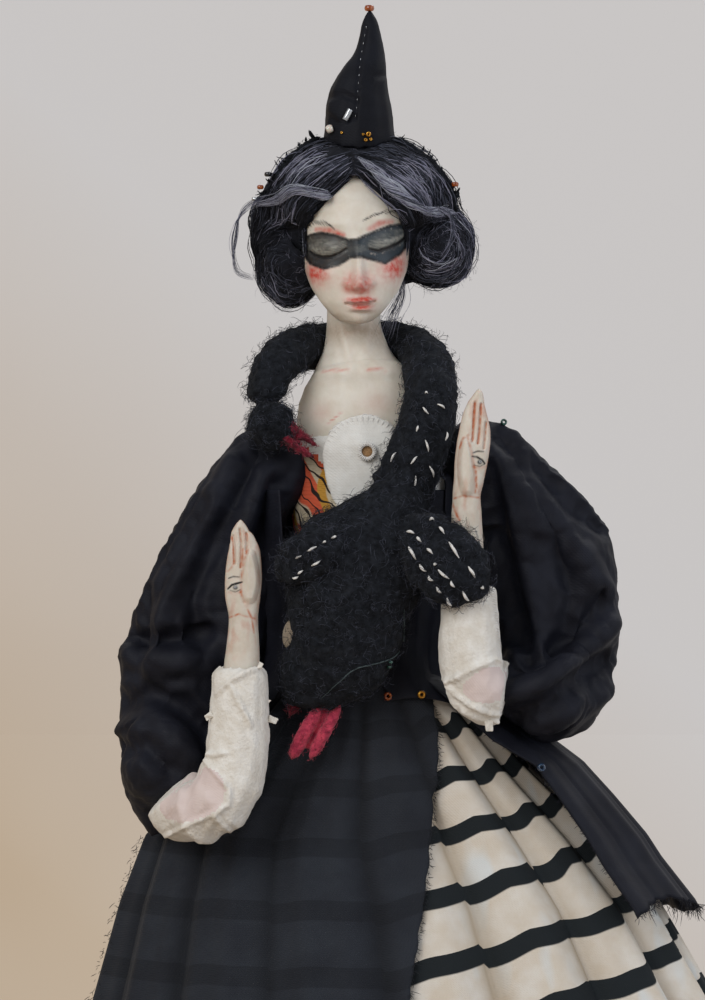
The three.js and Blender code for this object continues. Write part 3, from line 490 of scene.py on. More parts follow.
def crumpled(piece: Piece, growth: float, hold: float, cap_mm: float, steps: int = 16) -> Piece:
    """Lets a piece's cloth grow a little, so that it buckles as slack cloth round a limb does.

    The cloth is simulated ten times as large, where the solver is at home, and each point is held
    softly to its place.

    Args:
        piece: The piece, already evenly faced.
        growth: How much larger the cloth is than the form, as a share.
        hold: How strongly its points are held, from 0 to 1.
        cap_mm: The furthest that a point may move.
        steps: How many frames it runs for.

    Returns:
        The same piece.
    """
    larger = 10.0
    scene = bpy.context.scene
    copy = bpy.data.objects.new(piece.name + "_sim", piece.data.copy())
    scene.collection.objects.link(copy)
    copy.data.transform(Matrix.Scale(larger, 4))
    group = copy.vertex_groups.new(name="held")
    group.add(range(len(copy.data.vertices)), hold, "REPLACE")
    cloth = copy.modifiers.new("cloth", "CLOTH")
    settings = cloth.settings
    settings.quality = 6
    settings.mass = 0.15
    settings.tension_stiffness = settings.compression_stiffness = 25
    settings.shear_stiffness = 10
    settings.bending_stiffness = 0.8
    settings.shrink_min = -growth
    settings.vertex_group_mass = group.name
    settings.pin_stiffness = 1.0
    settings.effector_weights.gravity = 0
    cloth.collision_settings.use_collision = False
    cloth.point_cache.frame_end = steps
    for step in range(1, steps + 1):
        scene.frame_set(step)
    count = len(piece.data.vertices) * 3
    moved, start = np.empty(count), np.empty(count)
    copy.evaluated_get(bpy.context.evaluated_depsgraph_get()).data.vertices.foreach_get("co", moved)
    piece.data.vertices.foreach_get("co", start)
    shift = (moved / larger - start).reshape(-1, 3)
    far = np.linalg.norm(shift, axis=1)[:, None]
    shift *= np.minimum(1.0, cap_mm * MM / np.maximum(far, 1e-9))
    piece.data.vertices.foreach_set("co", start + shift.ravel())
    piece.data.update()
    bpy.data.objects.remove(copy)
    scene.frame_set(1)
    log.info("%s crumpled, at most %.1f mm", piece.name, far.max() / MM)
    return piece


def refined(piece: Piece, levels: int = 1) -> Piece:
    """Adds a live subdivision, the same in view and render."""
    finer = piece.modifiers.new("smooth", "SUBSURF")
    finer.levels = finer.render_levels = levels
    return piece


class Sculpture:
    """The points of a piece, to be moved and painted in millimetres."""

    def __init__(self, piece: Piece) -> None:
        """Reads the points of a piece's mesh."""
        self.mesh = piece.data
        self.points = np.empty(len(self.mesh.vertices) * 3)
        self.mesh.vertices.foreach_get("co", self.points)
        self.points = self.points.reshape(-1, 3) / MM

    def normals(self) -> np.ndarray:
        """The direction out of the surface at each point."""
        found = np.empty(len(self.points) * 3)
        self.mesh.vertex_normals.foreach_get("vector", found)
        return found.reshape(-1, 3)

    def write(self) -> None:
        """Writes moved points back to the mesh."""
        self.mesh.vertices.foreach_set("co", (self.points * MM).ravel())
        self.mesh.update()

    def push(self, heights: np.ndarray) -> Sculpture:
        """Moves every point along its normal by its height."""
        self.points += self.normals() * heights[:, None]
        self.write()
        return self

    def grain(self, size: float, seed: float = 0.0, stretch: Triple = (1, 1, 1)) -> np.ndarray:
        """Smooth noise from -1 to 1 at every point.

        Args:
            size: The size of its patches.
            seed: Moves the noise to another place.
            stretch: How much longer the patches are along each axis.

        Returns:
            One value for each point.
        """
        scaled = self.points / (size * np.array(stretch)) + seed
        return np.array([noise.noise(p) for p in scaled])

    def patch(self, x: float, z: float, wide: float, tall: float, turn: float = 0.0) -> np.ndarray:
        """A soft patch of weight 1 at a place of the front.

        Args:
            x: Its middle across.
            z: Its middle's height.
            wide: Its half width.
            tall: Its half height.
            turn: Degrees that it is turned by, anticlockwise as seen from the front.

        Returns:
            One weight for each point, 0 on the back.
        """
        angle = math.radians(turn)
        across, up = self.points[:, 0] - x, self.points[:, 2] - z
        along = across * math.cos(angle) + up * math.sin(angle)
        aside = up * math.cos(angle) - across * math.sin(angle)
        weight = np.exp(-((along / wide) ** 2 + (aside / tall) ** 2))
        return weight * self.front()

    def front(self) -> np.ndarray:
        """1 where the surface faces the front, falling to 0 where it faces sideways."""
        return np.clip(-self.normals()[:, 1] * 2.5, 0, 1)

    def stroke(self, path: Sequence[Pair], width: float, soft: float = 0.25) -> np.ndarray:
        """A brush stroke along a line of (x, z) points on the front.

        Args:
            path: The line's points.
            width: The half width of the stroke at its middle; it thins towards its ends.
            soft: How far its edge fades.

        Returns:
            One weight for each point.
        """
        where = self.points[:, [0, 2]]
        best = np.zeros(len(where))
        steps = len(path) - 1
        for i, (start, end) in enumerate(zip(path[:-1], path[1:], strict=True)):
            a, b = np.array(start), np.array(end)
            share = np.clip((where - a) @ (b - a) / max((b - a) @ (b - a), 1e-9), 0, 1)
            away = np.linalg.norm(where - a - share[:, None] * (b - a), axis=1)
            along = (i + share) / steps
            half = width * (0.35 + 0.65 * np.sin(np.pi * np.clip(along, 0.02, 0.98)))
            best = np.maximum(best, np.clip((half + soft - away) / soft, 0, 1))
        return best * self.front()

    def paint(self, name: str, weights: np.ndarray) -> Sculpture:
        """Keeps weights on the mesh under a name, for a finish to read."""
        held = self.mesh.attributes.get(name) or self.mesh.attributes.new(name, "FLOAT", "POINT")
        held.data.foreach_set("value", np.clip(weights, 0, 1).astype(np.float32))
        return self


class Skin:
    """The surface of a piece, to set stitches, beads and fibres on."""

    def __init__(self, piece: Piece) -> None:
        """Reads the piece's surface with its modifiers."""
        shown = piece.evaluated_get(bpy.context.evaluated_depsgraph_get())
        mesh = shown.to_mesh()
        mesh.calc_loop_triangles()
        points = np.empty(len(mesh.vertices) * 3)
        mesh.vertices.foreach_get("co", points)
        corners = np.empty(len(mesh.loop_triangles) * 3, dtype=np.int32)
        mesh.loop_triangles.foreach_get("vertices", corners)
        shown.to_mesh_clear()
        self.points = points.reshape(-1, 3)
        self.corners = corners.reshape(-1, 3)
        self.tree = BVHTree.FromPolygons(self.points.tolist(), self.corners.tolist())

    def front(self, x: float, z: float) -> tuple[Vector, Vector]:
        """The frontmost point and its normal at a place in millimetres."""
        place, normal, _, _ = self.tree.ray_cast(Vector((x * MM, -1.0, z * MM)), Vector((0, 1, 0)))
        if place is None:
            place, normal, _, _ = self.tree.find_nearest(Vector((x * MM, -0.012, z * MM)))
        return place, normal if normal.y <= 0 else -normal

    def spread(self, count: int, random: np.random.Generator) -> tuple[np.ndarray, np.ndarray]:
        """Points spread evenly over the surface.

        Args:
            count: How many.
            random: Where its chances come from.

        Returns:
            The points and the normals there, in metres.
        """
        a, b, c = (self.points[self.corners[:, i]] for i in range(3))
        cross = np.cross(b - a, c - a)
        size = np.linalg.norm(cross, axis=1)
        pick = random.choice(len(size), count, p=size / size.sum())
        u, v = random.random((2, count, 1))
        u, v = np.where(u + v > 1, 1 - u, u), np.where(u + v > 1, 1 - v, v)
        normals = cross[pick] / np.maximum(size[pick], 1e-12)[:, None]
        return a[pick] + u * (b[pick] - a[pick]) + v * (c[pick] - a[pick]), normals


def strands(
    name: str, paths: Sequence[np.ndarray], radius_mm: float, finishes: Sequence[Finish], picks: Sequence[int]
) -> Piece:
    """Makes thin round strands that thin out at their ends, as one mesh.

    Args:
        name: The piece's name.
        paths: The points of each strand, in metres.
        radius_mm: The strands' radius.
        finishes: The finishes that they may have.
        picks: The number of each strand's finish.

    Returns:
        The piece.
    """
    curve = bpy.data.curves.new(name, "CURVE")
    curve.dimensions = "3D"
    curve.bevel_depth = radius_mm * MM
    curve.bevel_resolution = 0
    # The finishes come first: a spline's material number is held to those that the curve has.
    for finish in finishes:
        curve.materials.append(finish.material())
    for path, pick in zip(paths, picks, strict=True):
        spline = curve.splines.new("POLY")
        spline.points.add(len(path) - 1)
        spline.points.foreach_set("co", np.column_stack([path, np.ones(len(path))]).ravel())
        thin = np.sin(np.pi * np.linspace(0.12, 0.94, len(path)))
        spline.points.foreach_set("radius", thin)
        spline.material_index = int(pick)
    rough = bpy.data.objects.new(name + "_curve", curve)
    mesh = bpy.data.meshes.new_from_object(rough)
    bpy.data.objects.remove(rough)
    bpy.data.curves.remove(curve)
    return piece_of(name, mesh, finishes)


def fuzz(
    name: str, source: Piece, count: int, length_mm: float, lift: float, seed: int,
    finishes: Sequence[Finish], radius_mm: float = 0.07,
) -> Piece:
    """Makes short curled fibres that stand off a felted surface.

    Args:
        name: The piece's name.
        source: The felted piece.
        count: How many fibres.
        length_mm: Their usual length.
        lift: How much they stand up, from 0 to 1.
        seed: Fixes their places.
        finishes: The finishes that they may have.
        radius_mm: Their radius.

    Returns:
        The piece.
    """
    random = np.random.default_rng(seed)
    starts, normals = Skin(source).spread(count, random)
    sideways = np.cross(normals, random.normal(size=(count, 3)))
    sideways /= np.linalg.norm(sideways, axis=1)[:, None] + 1e-9
    curl = np.cross(normals, sideways)
    reach = length_mm * MM * random.uniform(0.4, 1.3, count)[:, None]
    up = lift * random.uniform(0.1, 1.0, count)[:, None] ** 2
    turns = random.uniform(0.3, 1.3, count)[:, None] * math.tau
    loop = random.uniform(0.12, 0.4, count)[:, None]
    paths = []
    for share in np.linspace(0, 1, 5):
        angle = turns * share
        along = sideways * (share * (1 - loop) + loop * np.sin(angle)) + curl * loop * (1 - np.cos(angle))
        arch = normals * (up * share * (1.6 - share) - 0.03)
        paths.append(starts + (along + arch) * reach)
    return strands(
        name, list(np.stack(paths, axis=1)), radius_mm, finishes, random.integers(0, len(finishes), count)
    )


def along_line(stations: Sequence[Sequence[float]], count: int) -> np.ndarray:
    """Evenly placed values of a smooth line through stations.

    Args:
        stations: Points with any further values, such as half widths.
        count: How many rows to return.

    Returns:
        One row of values for each step.
    """
    rows = np.array(stations, dtype=float)
    gaps = np.linalg.norm(np.diff(rows[:, :3], axis=0), axis=1) ** 0.5 + 1e-6
    at = np.concatenate([[0], np.cumsum(gaps)])
    secant = np.diff(rows, axis=0) / np.diff(at)[:, None]
    before, after = secant[:-1], secant[1:]
    level = np.where(before * after > 0, 2 * before * after / (before + after + 1e-12), 0.0)
    slope = np.vstack([secant[:1], level, secant[-1:]])
    fine = np.linspace(0, at[-1], max(count * 8, 64))
    part = np.clip(np.searchsorted(at, fine, side="right") - 1, 0, len(at) - 2)
    span = (at[part + 1] - at[part])[:, None]
    t = ((fine - at[part]) / span[:, 0])[:, None]
    curve = (
        (2 * t**3 - 3 * t**2 + 1) * rows[part]
        + (t**3 - 2 * t**2 + t) * span * slope[part]
        + (3 * t**2 - 2 * t**3) * rows[part + 1]
        + (t**3 - t**2) * span * slope[part + 1]
    )
    long = np.concatenate([[0], np.cumsum(np.linalg.norm(np.diff(curve[:, :3], axis=0), axis=1))])
    even = np.linspace(0, long[-1], count)
    return np.column_stack([np.interp(even, long, curve[:, i]) for i in range(curve.shape[1])])


def stuffed(
    name: str, stations: Sequence[Sequence[float]], around: int, rows: int, finish: Finish,
    across: Triple = (1, 0, 0),
) -> Piece:
    """Makes a form that swells and tapers along a smooth line.

    Args:
        name: The piece's name.
        stations: x, y, z, half width and half depth at points of the line, in millimetres.
        around: How many faces go round it.
        rows: How many rows lie along it.
        finish: Its finish.
        across: The direction of its width, as far as the line lets it.

    Returns:
        The piece.
    """
    bm = bmesh.new()
    bmesh.ops.create_uvsphere(bm, u_segments=around, v_segments=rows, radius=1)
    line = along_line(stations, rows + 1)
    places, sizes = line[:, :3], np.maximum(line[:, 3:5], 0.02)
    ways = np.gradient(places, axis=0)
    ways /= np.linalg.norm(ways, axis=1)[:, None]
    wide = np.array(across) - ways * (ways @ np.array(across))[:, None]
    wide /= np.linalg.norm(wide, axis=1)[:, None]
    deep = np.cross(ways, wide)
    for vert in bm.verts:
        row = round(math.acos(max(-1.0, min(1.0, vert.co.z))) / math.pi * rows)
        angle = math.atan2(vert.co.y, vert.co.x)
        ends = 0.0 if row in (0, rows) else 1.0
        out = wide[row] * math.cos(angle) * sizes[row, 0] + deep[row] * math.sin(angle) * sizes[row, 1]
        vert.co = Vector((places[row] + out * ends) * MM)
    bmesh.ops.recalc_face_normals(bm, faces=bm.faces)
    if bm.calc_volume(signed=True) < 0:
        bmesh.ops.reverse_faces(bm, faces=bm.faces)
    return from_bmesh(name, bm, [finish])


def bead(
    bm: BMesh, place: Vector, radius_mm: float, axis: Vector, tall: float = 0.62, hole: float = 0.26
) -> None:
    """Adds a round bead with its hole to a bmesh.

    Args:
        bm: Where it goes.
        place: Its middle, in metres.
        radius_mm: Its radius.
        axis: The direction of its hole.
        tall: Its height as a share of its width.
        hole: Its hole's width as a share of its width.
    """
    wall = (1 - hole) * radius_mm / 2
    turn = axis.normalized().to_track_quat("Z", "Y").to_matrix().to_4x4()
    stand = Matrix.Translation(((radius_mm - wall) * MM, 0, 0)) @ Matrix.Rotation(math.pi / 2, 4, "X")
    ring = bmesh.ops.create_circle(bm, segments=8, radius=wall * MM, matrix=stand)["verts"]
    edges = list({edge for vert in ring for edge in vert.link_edges})
    bmesh.ops.spin(
        bm, geom=ring + edges, cent=(0, 0, 0), axis=(0, 0, 1), steps=12, angle=math.tau,
        use_merge=True, use_duplicate=False,
    )
    verts = connected(ring[0])
    bmesh.ops.scale(bm, verts=verts, vec=(1, 1, tall * radius_mm / wall))
    bmesh.ops.transform(bm, matrix=Matrix.Translation(place) @ turn, verts=verts)


def connected(start: bmesh.types.BMVert) -> list[bmesh.types.BMVert]:
    """All points that hang together with one point."""
    found, todo = {start}, [start]
    while todo:
        for edge in todo.pop().link_edges:
            for vert in edge.verts:
                if vert not in found:
                    found.add(vert)
                    todo.append(vert)
    return list(found)


def bead_piece(
    name: str, place: Vector, radius_mm: float, axis: Vector, finish: Finish,
    tall: float = 0.62, hole: float = 0.26,
) -> Piece:
    """Makes one bead as a piece of its own."""
    bm = bmesh.new()
    bead(bm, place, radius_mm, axis, tall, hole)
    bmesh.ops.recalc_face_normals(bm, faces=bm.faces)
    return refined(from_bmesh(name, bm, [finish]))


def middle(node: str) -> Vector:
    """The middle of a CAD node's box, in metres."""
    low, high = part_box(node)
    return (Vector(low) + Vector(high)) / 2


@dataclass(frozen=True)
class Stitch:
    """One stitch: its middle on the front, its direction in degrees and its length, all in mm."""

    x: float
    z: float
    turn: float
    length: float


def sewn(name: str, skin: Skin, stitches: Sequence[Stitch], radius_mm: float, finish: Finish) -> Piece:
    """Sews stitches on the front of a surface, each sinking into it at its ends.

    Args:
        name: The piece's name.
        skin: The surface.
        stitches: The stitches.
        radius_mm: The thread's radius.
        finish: The thread's finish.

    Returns:
        The piece.
    """
    paths = []
    for stitch in stitches:
        angle = math.radians(stitch.turn)
        path = []
        for share in np.linspace(-0.5, 0.5, 5):
            x = stitch.x + math.cos(angle) * stitch.length * share
            z = stitch.z + math.sin(angle) * stitch.length * share
            place, normal = skin.front(x, z)
            rise = radius_mm * (1.1 - 5.0 * share**2)
            path.append(np.array(place + normal * rise * MM))
        paths.append(np.array(path))
    piece = strands(name, paths, radius_mm, [finish], [0] * len(paths))
    return refined(piece)


@dataclass
class Studio:
    """The camera, the light and the backdrop.

    The camera looks level at the middle of the photographed part, from far enough off that 1000
    pixels of height show 300 mm at the doll's middle plane.
    """

    seen_height: float = 300.0
    seen_middle: Pair = (-1.35, 350.9)
    distance: float = 1500.0
    sensor: float = 36.0
    # The backdrop, in metres: the wall's distance behind the doll and its height, the sheet's half
    # width, how far it comes towards the camera, and the bend between floor and wall. The last two
    # are the shares of the sheet's rows that the floor and the bend take.
    wall_y: float = 0.7
    wall_height: float = 2.2
    half_width: float = 3.0
    near_y: float = -2.0
    bend_radius: float = 0.3
    floor_share: float = 0.45
    bend_share: float = 0.15

    def camera(self) -> None:
        """Makes the scene's camera."""
        lens = bpy.data.cameras.new("camera")
        lens.sensor_fit = "VERTICAL"
        lens.sensor_height = self.sensor
        lens.lens = self.sensor * self.distance / self.seen_height
        eye = bpy.data.objects.new("camera", lens)
        x, z = self.seen_middle
        eye.location = Vector((x, -self.distance, z)) * MM
        eye.rotation_euler = (math.pi / 2, 0, 0)
        bpy.context.scene.collection.objects.link(eye)
        bpy.context.scene.camera = eye

    def lamp(self, name: str, place: Triple, size: float, power: float, colour: str) -> None:
        """Adds a soft square lamp that faces the doll's chest."""
        light = bpy.data.lights.new(name, "AREA")
        light.size = size
        light.energy = power
        light.color = linear(colour)[:3]
        lamp = bpy.data.objects.new(name, light)
        lamp.location = place
        lamp.rotation_euler = (Vector((0, 0, 0.36)) - Vector(place)).to_track_quat("-Z", "Y").to_euler()
        bpy.context.scene.collection.objects.link(lamp)

    def backdrop(self) -> None:
        """Makes the floor and the wall as one bent sheet, pale and warm."""
        bm = bmesh.new()
        bmesh.ops.create_grid(bm, x_segments=2, y_segments=24, size=1)
        floor, bend, radius = self.floor_share, self.bend_share, self.bend_radius
        for vert in bm.verts:
            share = (vert.co.y + 1) / 2
            x = vert.co.x * self.half_width
            if share < floor:
                vert.co = (x, self.near_y + (self.wall_y - radius - self.near_y) * share / floor, 0)
            elif share < floor + bend:
                turn = (share - floor) / bend * math.pi / 2
                y = self.wall_y - radius + radius * math.sin(turn)
                vert.co = (x, y, radius - radius * math.cos(turn))
            else:
                rise = (share - floor - bend) / (1 - floor - bend)
                vert.co = (x, self.wall_y, radius + rise * self.wall_height)
        mesh = bpy.data.meshes.new("backdrop")
        bm.to_mesh(mesh)
        bm.free()
        mesh.materials.append(self.pale_wall())
        sheet = bpy.data.objects.new("backdrop", mesh)
        bpy.context.scene.collection.objects.link(sheet)

    def pale_wall(self) -> bpy.types.Material:
        """Makes its material, warm below and paler above, which shows from the front only."""
        material = bpy.data.materials.new("pale_backdrop")
        material.use_nodes = True
        tree = material.node_tree
        tree.nodes.clear()
        place = add_node(tree, "ShaderNodeTexCoord").outputs["Object"]
        spot = add_node(tree, "ShaderNodeSeparateXYZ", {"Vector": place}).outputs
        slant = sum_node(tree, "MULTIPLY_ADD", spot["X"], 0.9, spot["Z"])
        warm = laid_over(tree, patches(tree, place, 6.0, 2.0), linear("#b39c80"), linear("#c8b9a7"))
        pale = laid_over(tree, ramp(tree, slant, 0.06, 0.4), warm, linear("#ccc9c8"))
        cloth = add_node(tree, "ShaderNodeBsdfDiffuse", {"Color": pale})
        shine = add_node(tree, "ShaderNodeEmission", {"Color": pale, "Strength": 1.0})
        rays = add_node(tree, "ShaderNodeLightPath").outputs
        seen = rays["Is Camera Ray"]
        for kind in ("Is Glossy Ray", "Is Transmission Ray"):
            seen = sum_node(tree, "MAXIMUM", seen, rays[kind])
        share = sum_node(tree, "MULTIPLY", seen, 0.85)
        both = add_node(tree, "ShaderNodeMixShader", {0: share, 1: cloth.outputs[0], 2: shine.outputs[0]})
        # Seen from its back, as from behind the doll, the sheet lets the view through.
        behind = add_node(tree, "ShaderNodeNewGeometry").outputs["Backfacing"]
        clear = add_node(tree, "ShaderNodeBsdfTransparent")
        one_sided = add_node(
            tree, "ShaderNodeMixShader", {0: behind, 1: both.outputs[0], 2: clear.outputs[0]}
        )
        add_node(tree, "ShaderNodeOutputMaterial", {"Surface": one_sided.outputs[0]})
        return material

    def build(self) -> None:
        """Sets up the whole studio."""
        scene = bpy.context.scene
        scene.view_settings.view_transform = "Standard"
        world = bpy.data.worlds.new("soft_room")
        world.use_nodes = True
        world.node_tree.nodes.clear()
        sky = add_node(
            world.node_tree, "ShaderNodeBackground", {"Color": linear("#e6e9ee"), "Strength": 0.42}
        )
        add_node(world.node_tree, "ShaderNodeOutputWorld", {"Surface": sky.outputs[0]})
        scene.world = world
        self.camera()
        self.backdrop()
        self.lamp("window", (-0.9, -1.3, 1.25), 1.1, 17.0, "#fffdfb")
        self.lamp("sky_fill", (1.4, -0.9, 0.9), 1.2, 9.0, "#f2f6ff")
        self.lamp("rim", (0.5, 0.55, 1.1), 0.5, 3.0, "#ffffff")


@dataclass
class Head:
    """The painted clay head with its closed eyes, from the chin up to the crown under the hair."""

    middle_x: float = -0.4
    levels: Rows = (
        # height, middle of depth, half width, half depth
        (403.0, -14.2, 0.3, 0.3),
        (403.9, -14.0, 4.6, 4.2),
        (406.0, -13.0, 7.3, 6.6),
        (409.5, -11.2, 10.2, 9.0),
        (414.0, -8.2, 13.2, 11.6),
        (420.0, -4.2, 15.5, 15.2),
        (428.0, -1.6, 16.8, 18.4),
        (438.0, -0.5, 16.7, 18.4),
        (446.5, 0.4, 13.8, 15.3),
        (452.5, 1.0, 8.0, 9.4),
        (455.0, 1.0, 0.3, 0.3),
    )
    mask_top: Line = (
        (-17, 428.6), (-14, 429.8), (-10.8, 430.3), (-6.5, 429.4), (-2.4, 427.8), (0, 428.0),
        (4, 429.9), (9.9, 432.4), (13, 433.0), (16.5, 432.2),
    )
    mask_bottom: Line = (
        (-17, 425.5), (-15.9, 423.9), (-13.8, 421.1), (-9.9, 419.5), (-5.4, 420.6), (-2.1, 422.7),
        (1.5, 422.9), (4.2, 422.2), (8.4, 421.1), (12.9, 424.1), (15.9, 428.2), (16.5, 429.4),
    )
    lid_lines: tuple[Line, ...] = (
        ((-14.0, 425.0), (-12.6, 423.7), (-10.2, 422.9), (-7.8, 422.9), (-5.4, 423.8), (-3.2, 425.3)),
        ((3.6, 425.2), (6.3, 424.6), (9.4, 425.6), (12.4, 427.4), (14.6, 429.4)),
    )

    def carve(self, art: Sculpture) -> None:
        """Gives the round head its features."""
        x, z = art.points[:, 0], art.points[:, 2]
        bridge = np.interp(z, [412.0, 413.4, 416.5, 421.0, 427.0, 431.0], [0.0, 3.2, 2.7, 1.7, 0.8, 0.0])
        half = np.interp(z, [412, 415, 420, 428], [2.2, 2.0, 1.5, 1.9])
        ridge = bridge * np.exp(-(((x - 0.5) / half) ** 2)) * art.front()
        forms = (
            ridge
            + 1.2 * art.patch(-2.9, 414.8, 1.4, 1.3) + 1.2 * art.patch(3.9, 415.1, 1.4, 1.3)
            + 1.2 * art.patch(0.5, 415.0, 2.1, 1.7)
            - 1.5 * art.patch(-8.6, 426.6, 5.6, 3.6, -6) - 1.5 * art.patch(9.2, 427.4, 5.6, 3.6, 12)
            + 1.9 * art.patch(-8.9, 426.0, 4.0, 2.5, -8) + 1.9 * art.patch(9.0, 427.3, 4.0, 2.5, 12)
            + 0.5 * art.patch(-8.0, 432.8, 6.0, 1.5, -4) + 0.5 * art.patch(8.5, 434.6, 6.0, 1.5, 10)
            + 0.8 * art.patch(-9.5, 417.5, 4.0, 3.6) + 0.8 * art.patch(10.0, 418.5, 4.0, 3.6)
            + 1.5 * art.patch(-0.6, 409.6, 2.0, 0.8) + 1.5 * art.patch(2.8, 409.8, 2.0, 0.8)
            + 1.7 * art.patch(1.2, 407.5, 2.4, 0.85)
            - 0.7 * art.stroke(
                ((-3.4, 409.0), (-0.5, 408.5), (1.4, 408.7), (3.4, 408.8), (5.3, 409.8)), 0.15, 0.45
            )
            - 0.5 * art.patch(1.0, 411.5, 0.7, 1.0) - 0.7 * art.patch(1.2, 406.3, 3.0, 0.7)
            + 0.9 * art.patch(0.6, 404.4, 2.6, 1.6)
        )
        art.push(forms)
        creases = sum(art.stroke(line, 0.12, 0.5) for line in self.lid_lines)
        art.push(-0.45 * creases)

    def colour(self, art: Sculpture) -> None:
        """Paints the mask, the brows, the closed lids, the blush and the lips, and lays painted shade under
        the jaw, down the face's sides, in the nostrils and at the mouth's corners.
        """
        x, z = art.points[:, 0], art.points[:, 2]
        top = np.interp(x, *np.array(self.mask_top).T)
        bottom = np.interp(x, *np.array(self.mask_bottom).T)
        soft = 0.35
        inside = np.clip((top - z) / soft + 0.5, 0, 1) * np.clip((z - bottom) / soft + 0.5, 0, 1)
        mask = inside * np.clip(art.front() * 3, 0, 1) * np.clip((17.2 - abs(x)) / 0.6, 0, 1)
        streak = 0.9 + 0.3 * art.grain(1.0, 3.0, (3, 1, 0.7))
        art.paint("slate", mask * streak)
        rim = [art.stroke(line, 0.3, 0.35) for line in (self.mask_top, self.mask_bottom)]
        art.paint("warm_slate", mask * np.clip((1.0 - x) / 5.0, 0, 1) * (0.75 + 0.5 * art.grain(1.6, 8.0)))
        lids = (
            0.9 * art.patch(-9.6, 426.4, 4.6, 2.0, -8) + 0.95 * art.patch(9.4, 427.8, 4.8, 1.9, 14)
            + 0.6 * art.patch(0.6, 425.2, 1.8, 0.9) + 0.5 * art.patch(12.6, 431.0, 2.4, 0.5, 5)
        )
        for rise in (1.0, 1.9, 2.8):
            for line in self.lid_lines:
                lids += 0.6 * art.stroke([(a, b + rise * math.cos(a / 14)) for a, b in line], 0.12, 0.35)
        art.paint("lid", lids * mask * (0.6 + 0.6 * art.grain(0.9, 5.0, (2.5, 1, 0.7))))
        lines = sum(art.stroke(line, 0.4, 0.3) for line in self.lid_lines) + 0.75 * sum(rim)
        lines += 0.55 * art.stroke(((-3.0, 409.6), (-0.8, 409.2), (1.2, 409.4), (4.8, 409.9)), 0.06, 0.2)
        lines += 0.8 * art.stroke(((2.6, 444.4), (7.5, 440.0), (12.0, 436.4), (14.6, 433.2)), 0.12, 0.25)
        for i in range(12):
            share = i / 11
            left_x, right_x = -15.2 + 8.6 * share, 1.6 + 12.4 * share
            left_z = 429.9 + 2.8 * math.sin(math.pi * (0.25 + 0.6 * share)) + 0.2 * math.sin(5.0 * i)
            right_z = 432.4 + 3.6 * math.sin(math.pi * (0.1 + 0.62 * share)) + 0.2 * math.sin(4.0 * i)
            lines += 0.7 * art.stroke(((left_x, left_z), (left_x - 1.1, left_z + 1.4)), 0.06, 0.22)
            lines += 0.7 * art.stroke(((right_x, right_z), (right_x + 1.7, right_z + 1.1)), 0.06, 0.22)
        art.paint("ink", lines)
        blush = (
            1.1 * art.patch(-12.3, 418.0, 3.8, 3.2, -25) + 1.1 * art.patch(11.2, 420.2, 4.4, 3.6, 40)
            + 0.45 * art.patch(0.3, 415.8, 4.6, 3.4) + 0.5 * art.patch(-2.6, 414.6, 1.9, 2.6)
            + 0.5 * art.patch(3.0, 414.6, 1.9, 2.6) + 0.45 * art.patch(0.4, 412.9, 2.4, 1.3)
            + 0.8 * art.stroke(((-12.0, 431.2), (-8.0, 430.9), (-4.0, 429.4)), 0.3, 1.0)
            + 0.7 * art.stroke(((3.5, 431.0), (7.0, 433.0), (10.5, 433.6)), 0.3, 1.0)
            + 1.3 * art.patch(-0.9, 410.1, 2.5, 0.8) + 1.3 * art.patch(2.9, 410.3, 2.3, 0.8)
            + 1.3 * art.patch(1.2, 408.2, 2.9, 1.2)
        )
        art.paint("coral", blush * (0.85 + 0.5 * art.grain(1.3, 2.0)))
        # Painted shade in warm brown: under the mouth and the jaw, on the jaw's lower right, down both sides
        # of the face, in the nostrils and at the mouth's corners.
        under = np.clip((409.5 - z) / 6.0, 0, 1) * 0.5
        under = under + np.clip((x - 9.5) / 6.0, 0, 1) * np.clip((414 - z) / 6, 0, 1)
        shade = 0.22 * art.patch(-15.5, 422, 2.5, 10) + 0.22 * art.patch(15, 424, 2.5, 10)
        nostrils = 0.4 * art.patch(-1.0, 412.9, 0.9, 0.4) + 0.4 * art.patch(2.2, 413.0, 0.9, 0.4)
        under_lids = sum(art.stroke([(a, b - 0.8) for a, b in line], 0.1, 0.4) for line in self.lid_lines)
        worn_rim = art.stroke([(a, b - 0.5) for a, b in self.mask_bottom], 0.1, 0.5)
        art.paint("sienna", (0.75 * under_lids + 0.3 * worn_rim) * (0.5 + 0.9 * art.grain(1.4, 12.0)))
        corners = 0.8 * art.patch(-3.2, 409.1, 0.6, 0.5) + 0.8 * art.patch(5.2, 409.9, 0.6, 0.5)
        art.paint("umber", under + shade + nostrils + corners)

    def build(self) -> Piece:
        """Makes the head."""
        stations = [(self.middle_x, y, z, wide, deep) for z, y, wide, deep in self.levels]
        bm = bmesh.new()
        bmesh.ops.create_uvsphere(bm, u_segments=240, v_segments=200, radius=1)
        rows = np.array(stations)
        low, high = rows[0, 2], rows[-1, 2]
        for vert in bm.verts:
            share = 1 - math.acos(max(-1.0, min(1.0, vert.co.z))) / math.pi
            z = low + (high - low) * (0.5 - 0.5 * math.cos(math.pi * share))
            angle = math.atan2(vert.co.y, vert.co.x)
            y, wide, deep = (np.interp(z, rows[:, 2], rows[:, i]) for i in (1, 3, 4))
            vert.co = Vector((self.middle_x + wide * math.cos(angle), y + deep * math.sin(angle), z)) * MM
        for _ in range(14):
            smooth(bm)
        bmesh.ops.recalc_face_normals(bm, faces=bm.faces)
        head = from_bmesh("painted_head", bm, [IVORY_CLAY])
        art = Sculpture(head)
        self.carve(art)
        self.colour(art)
        return settle(head, Place.HEAD, "ivory_clay", "head")


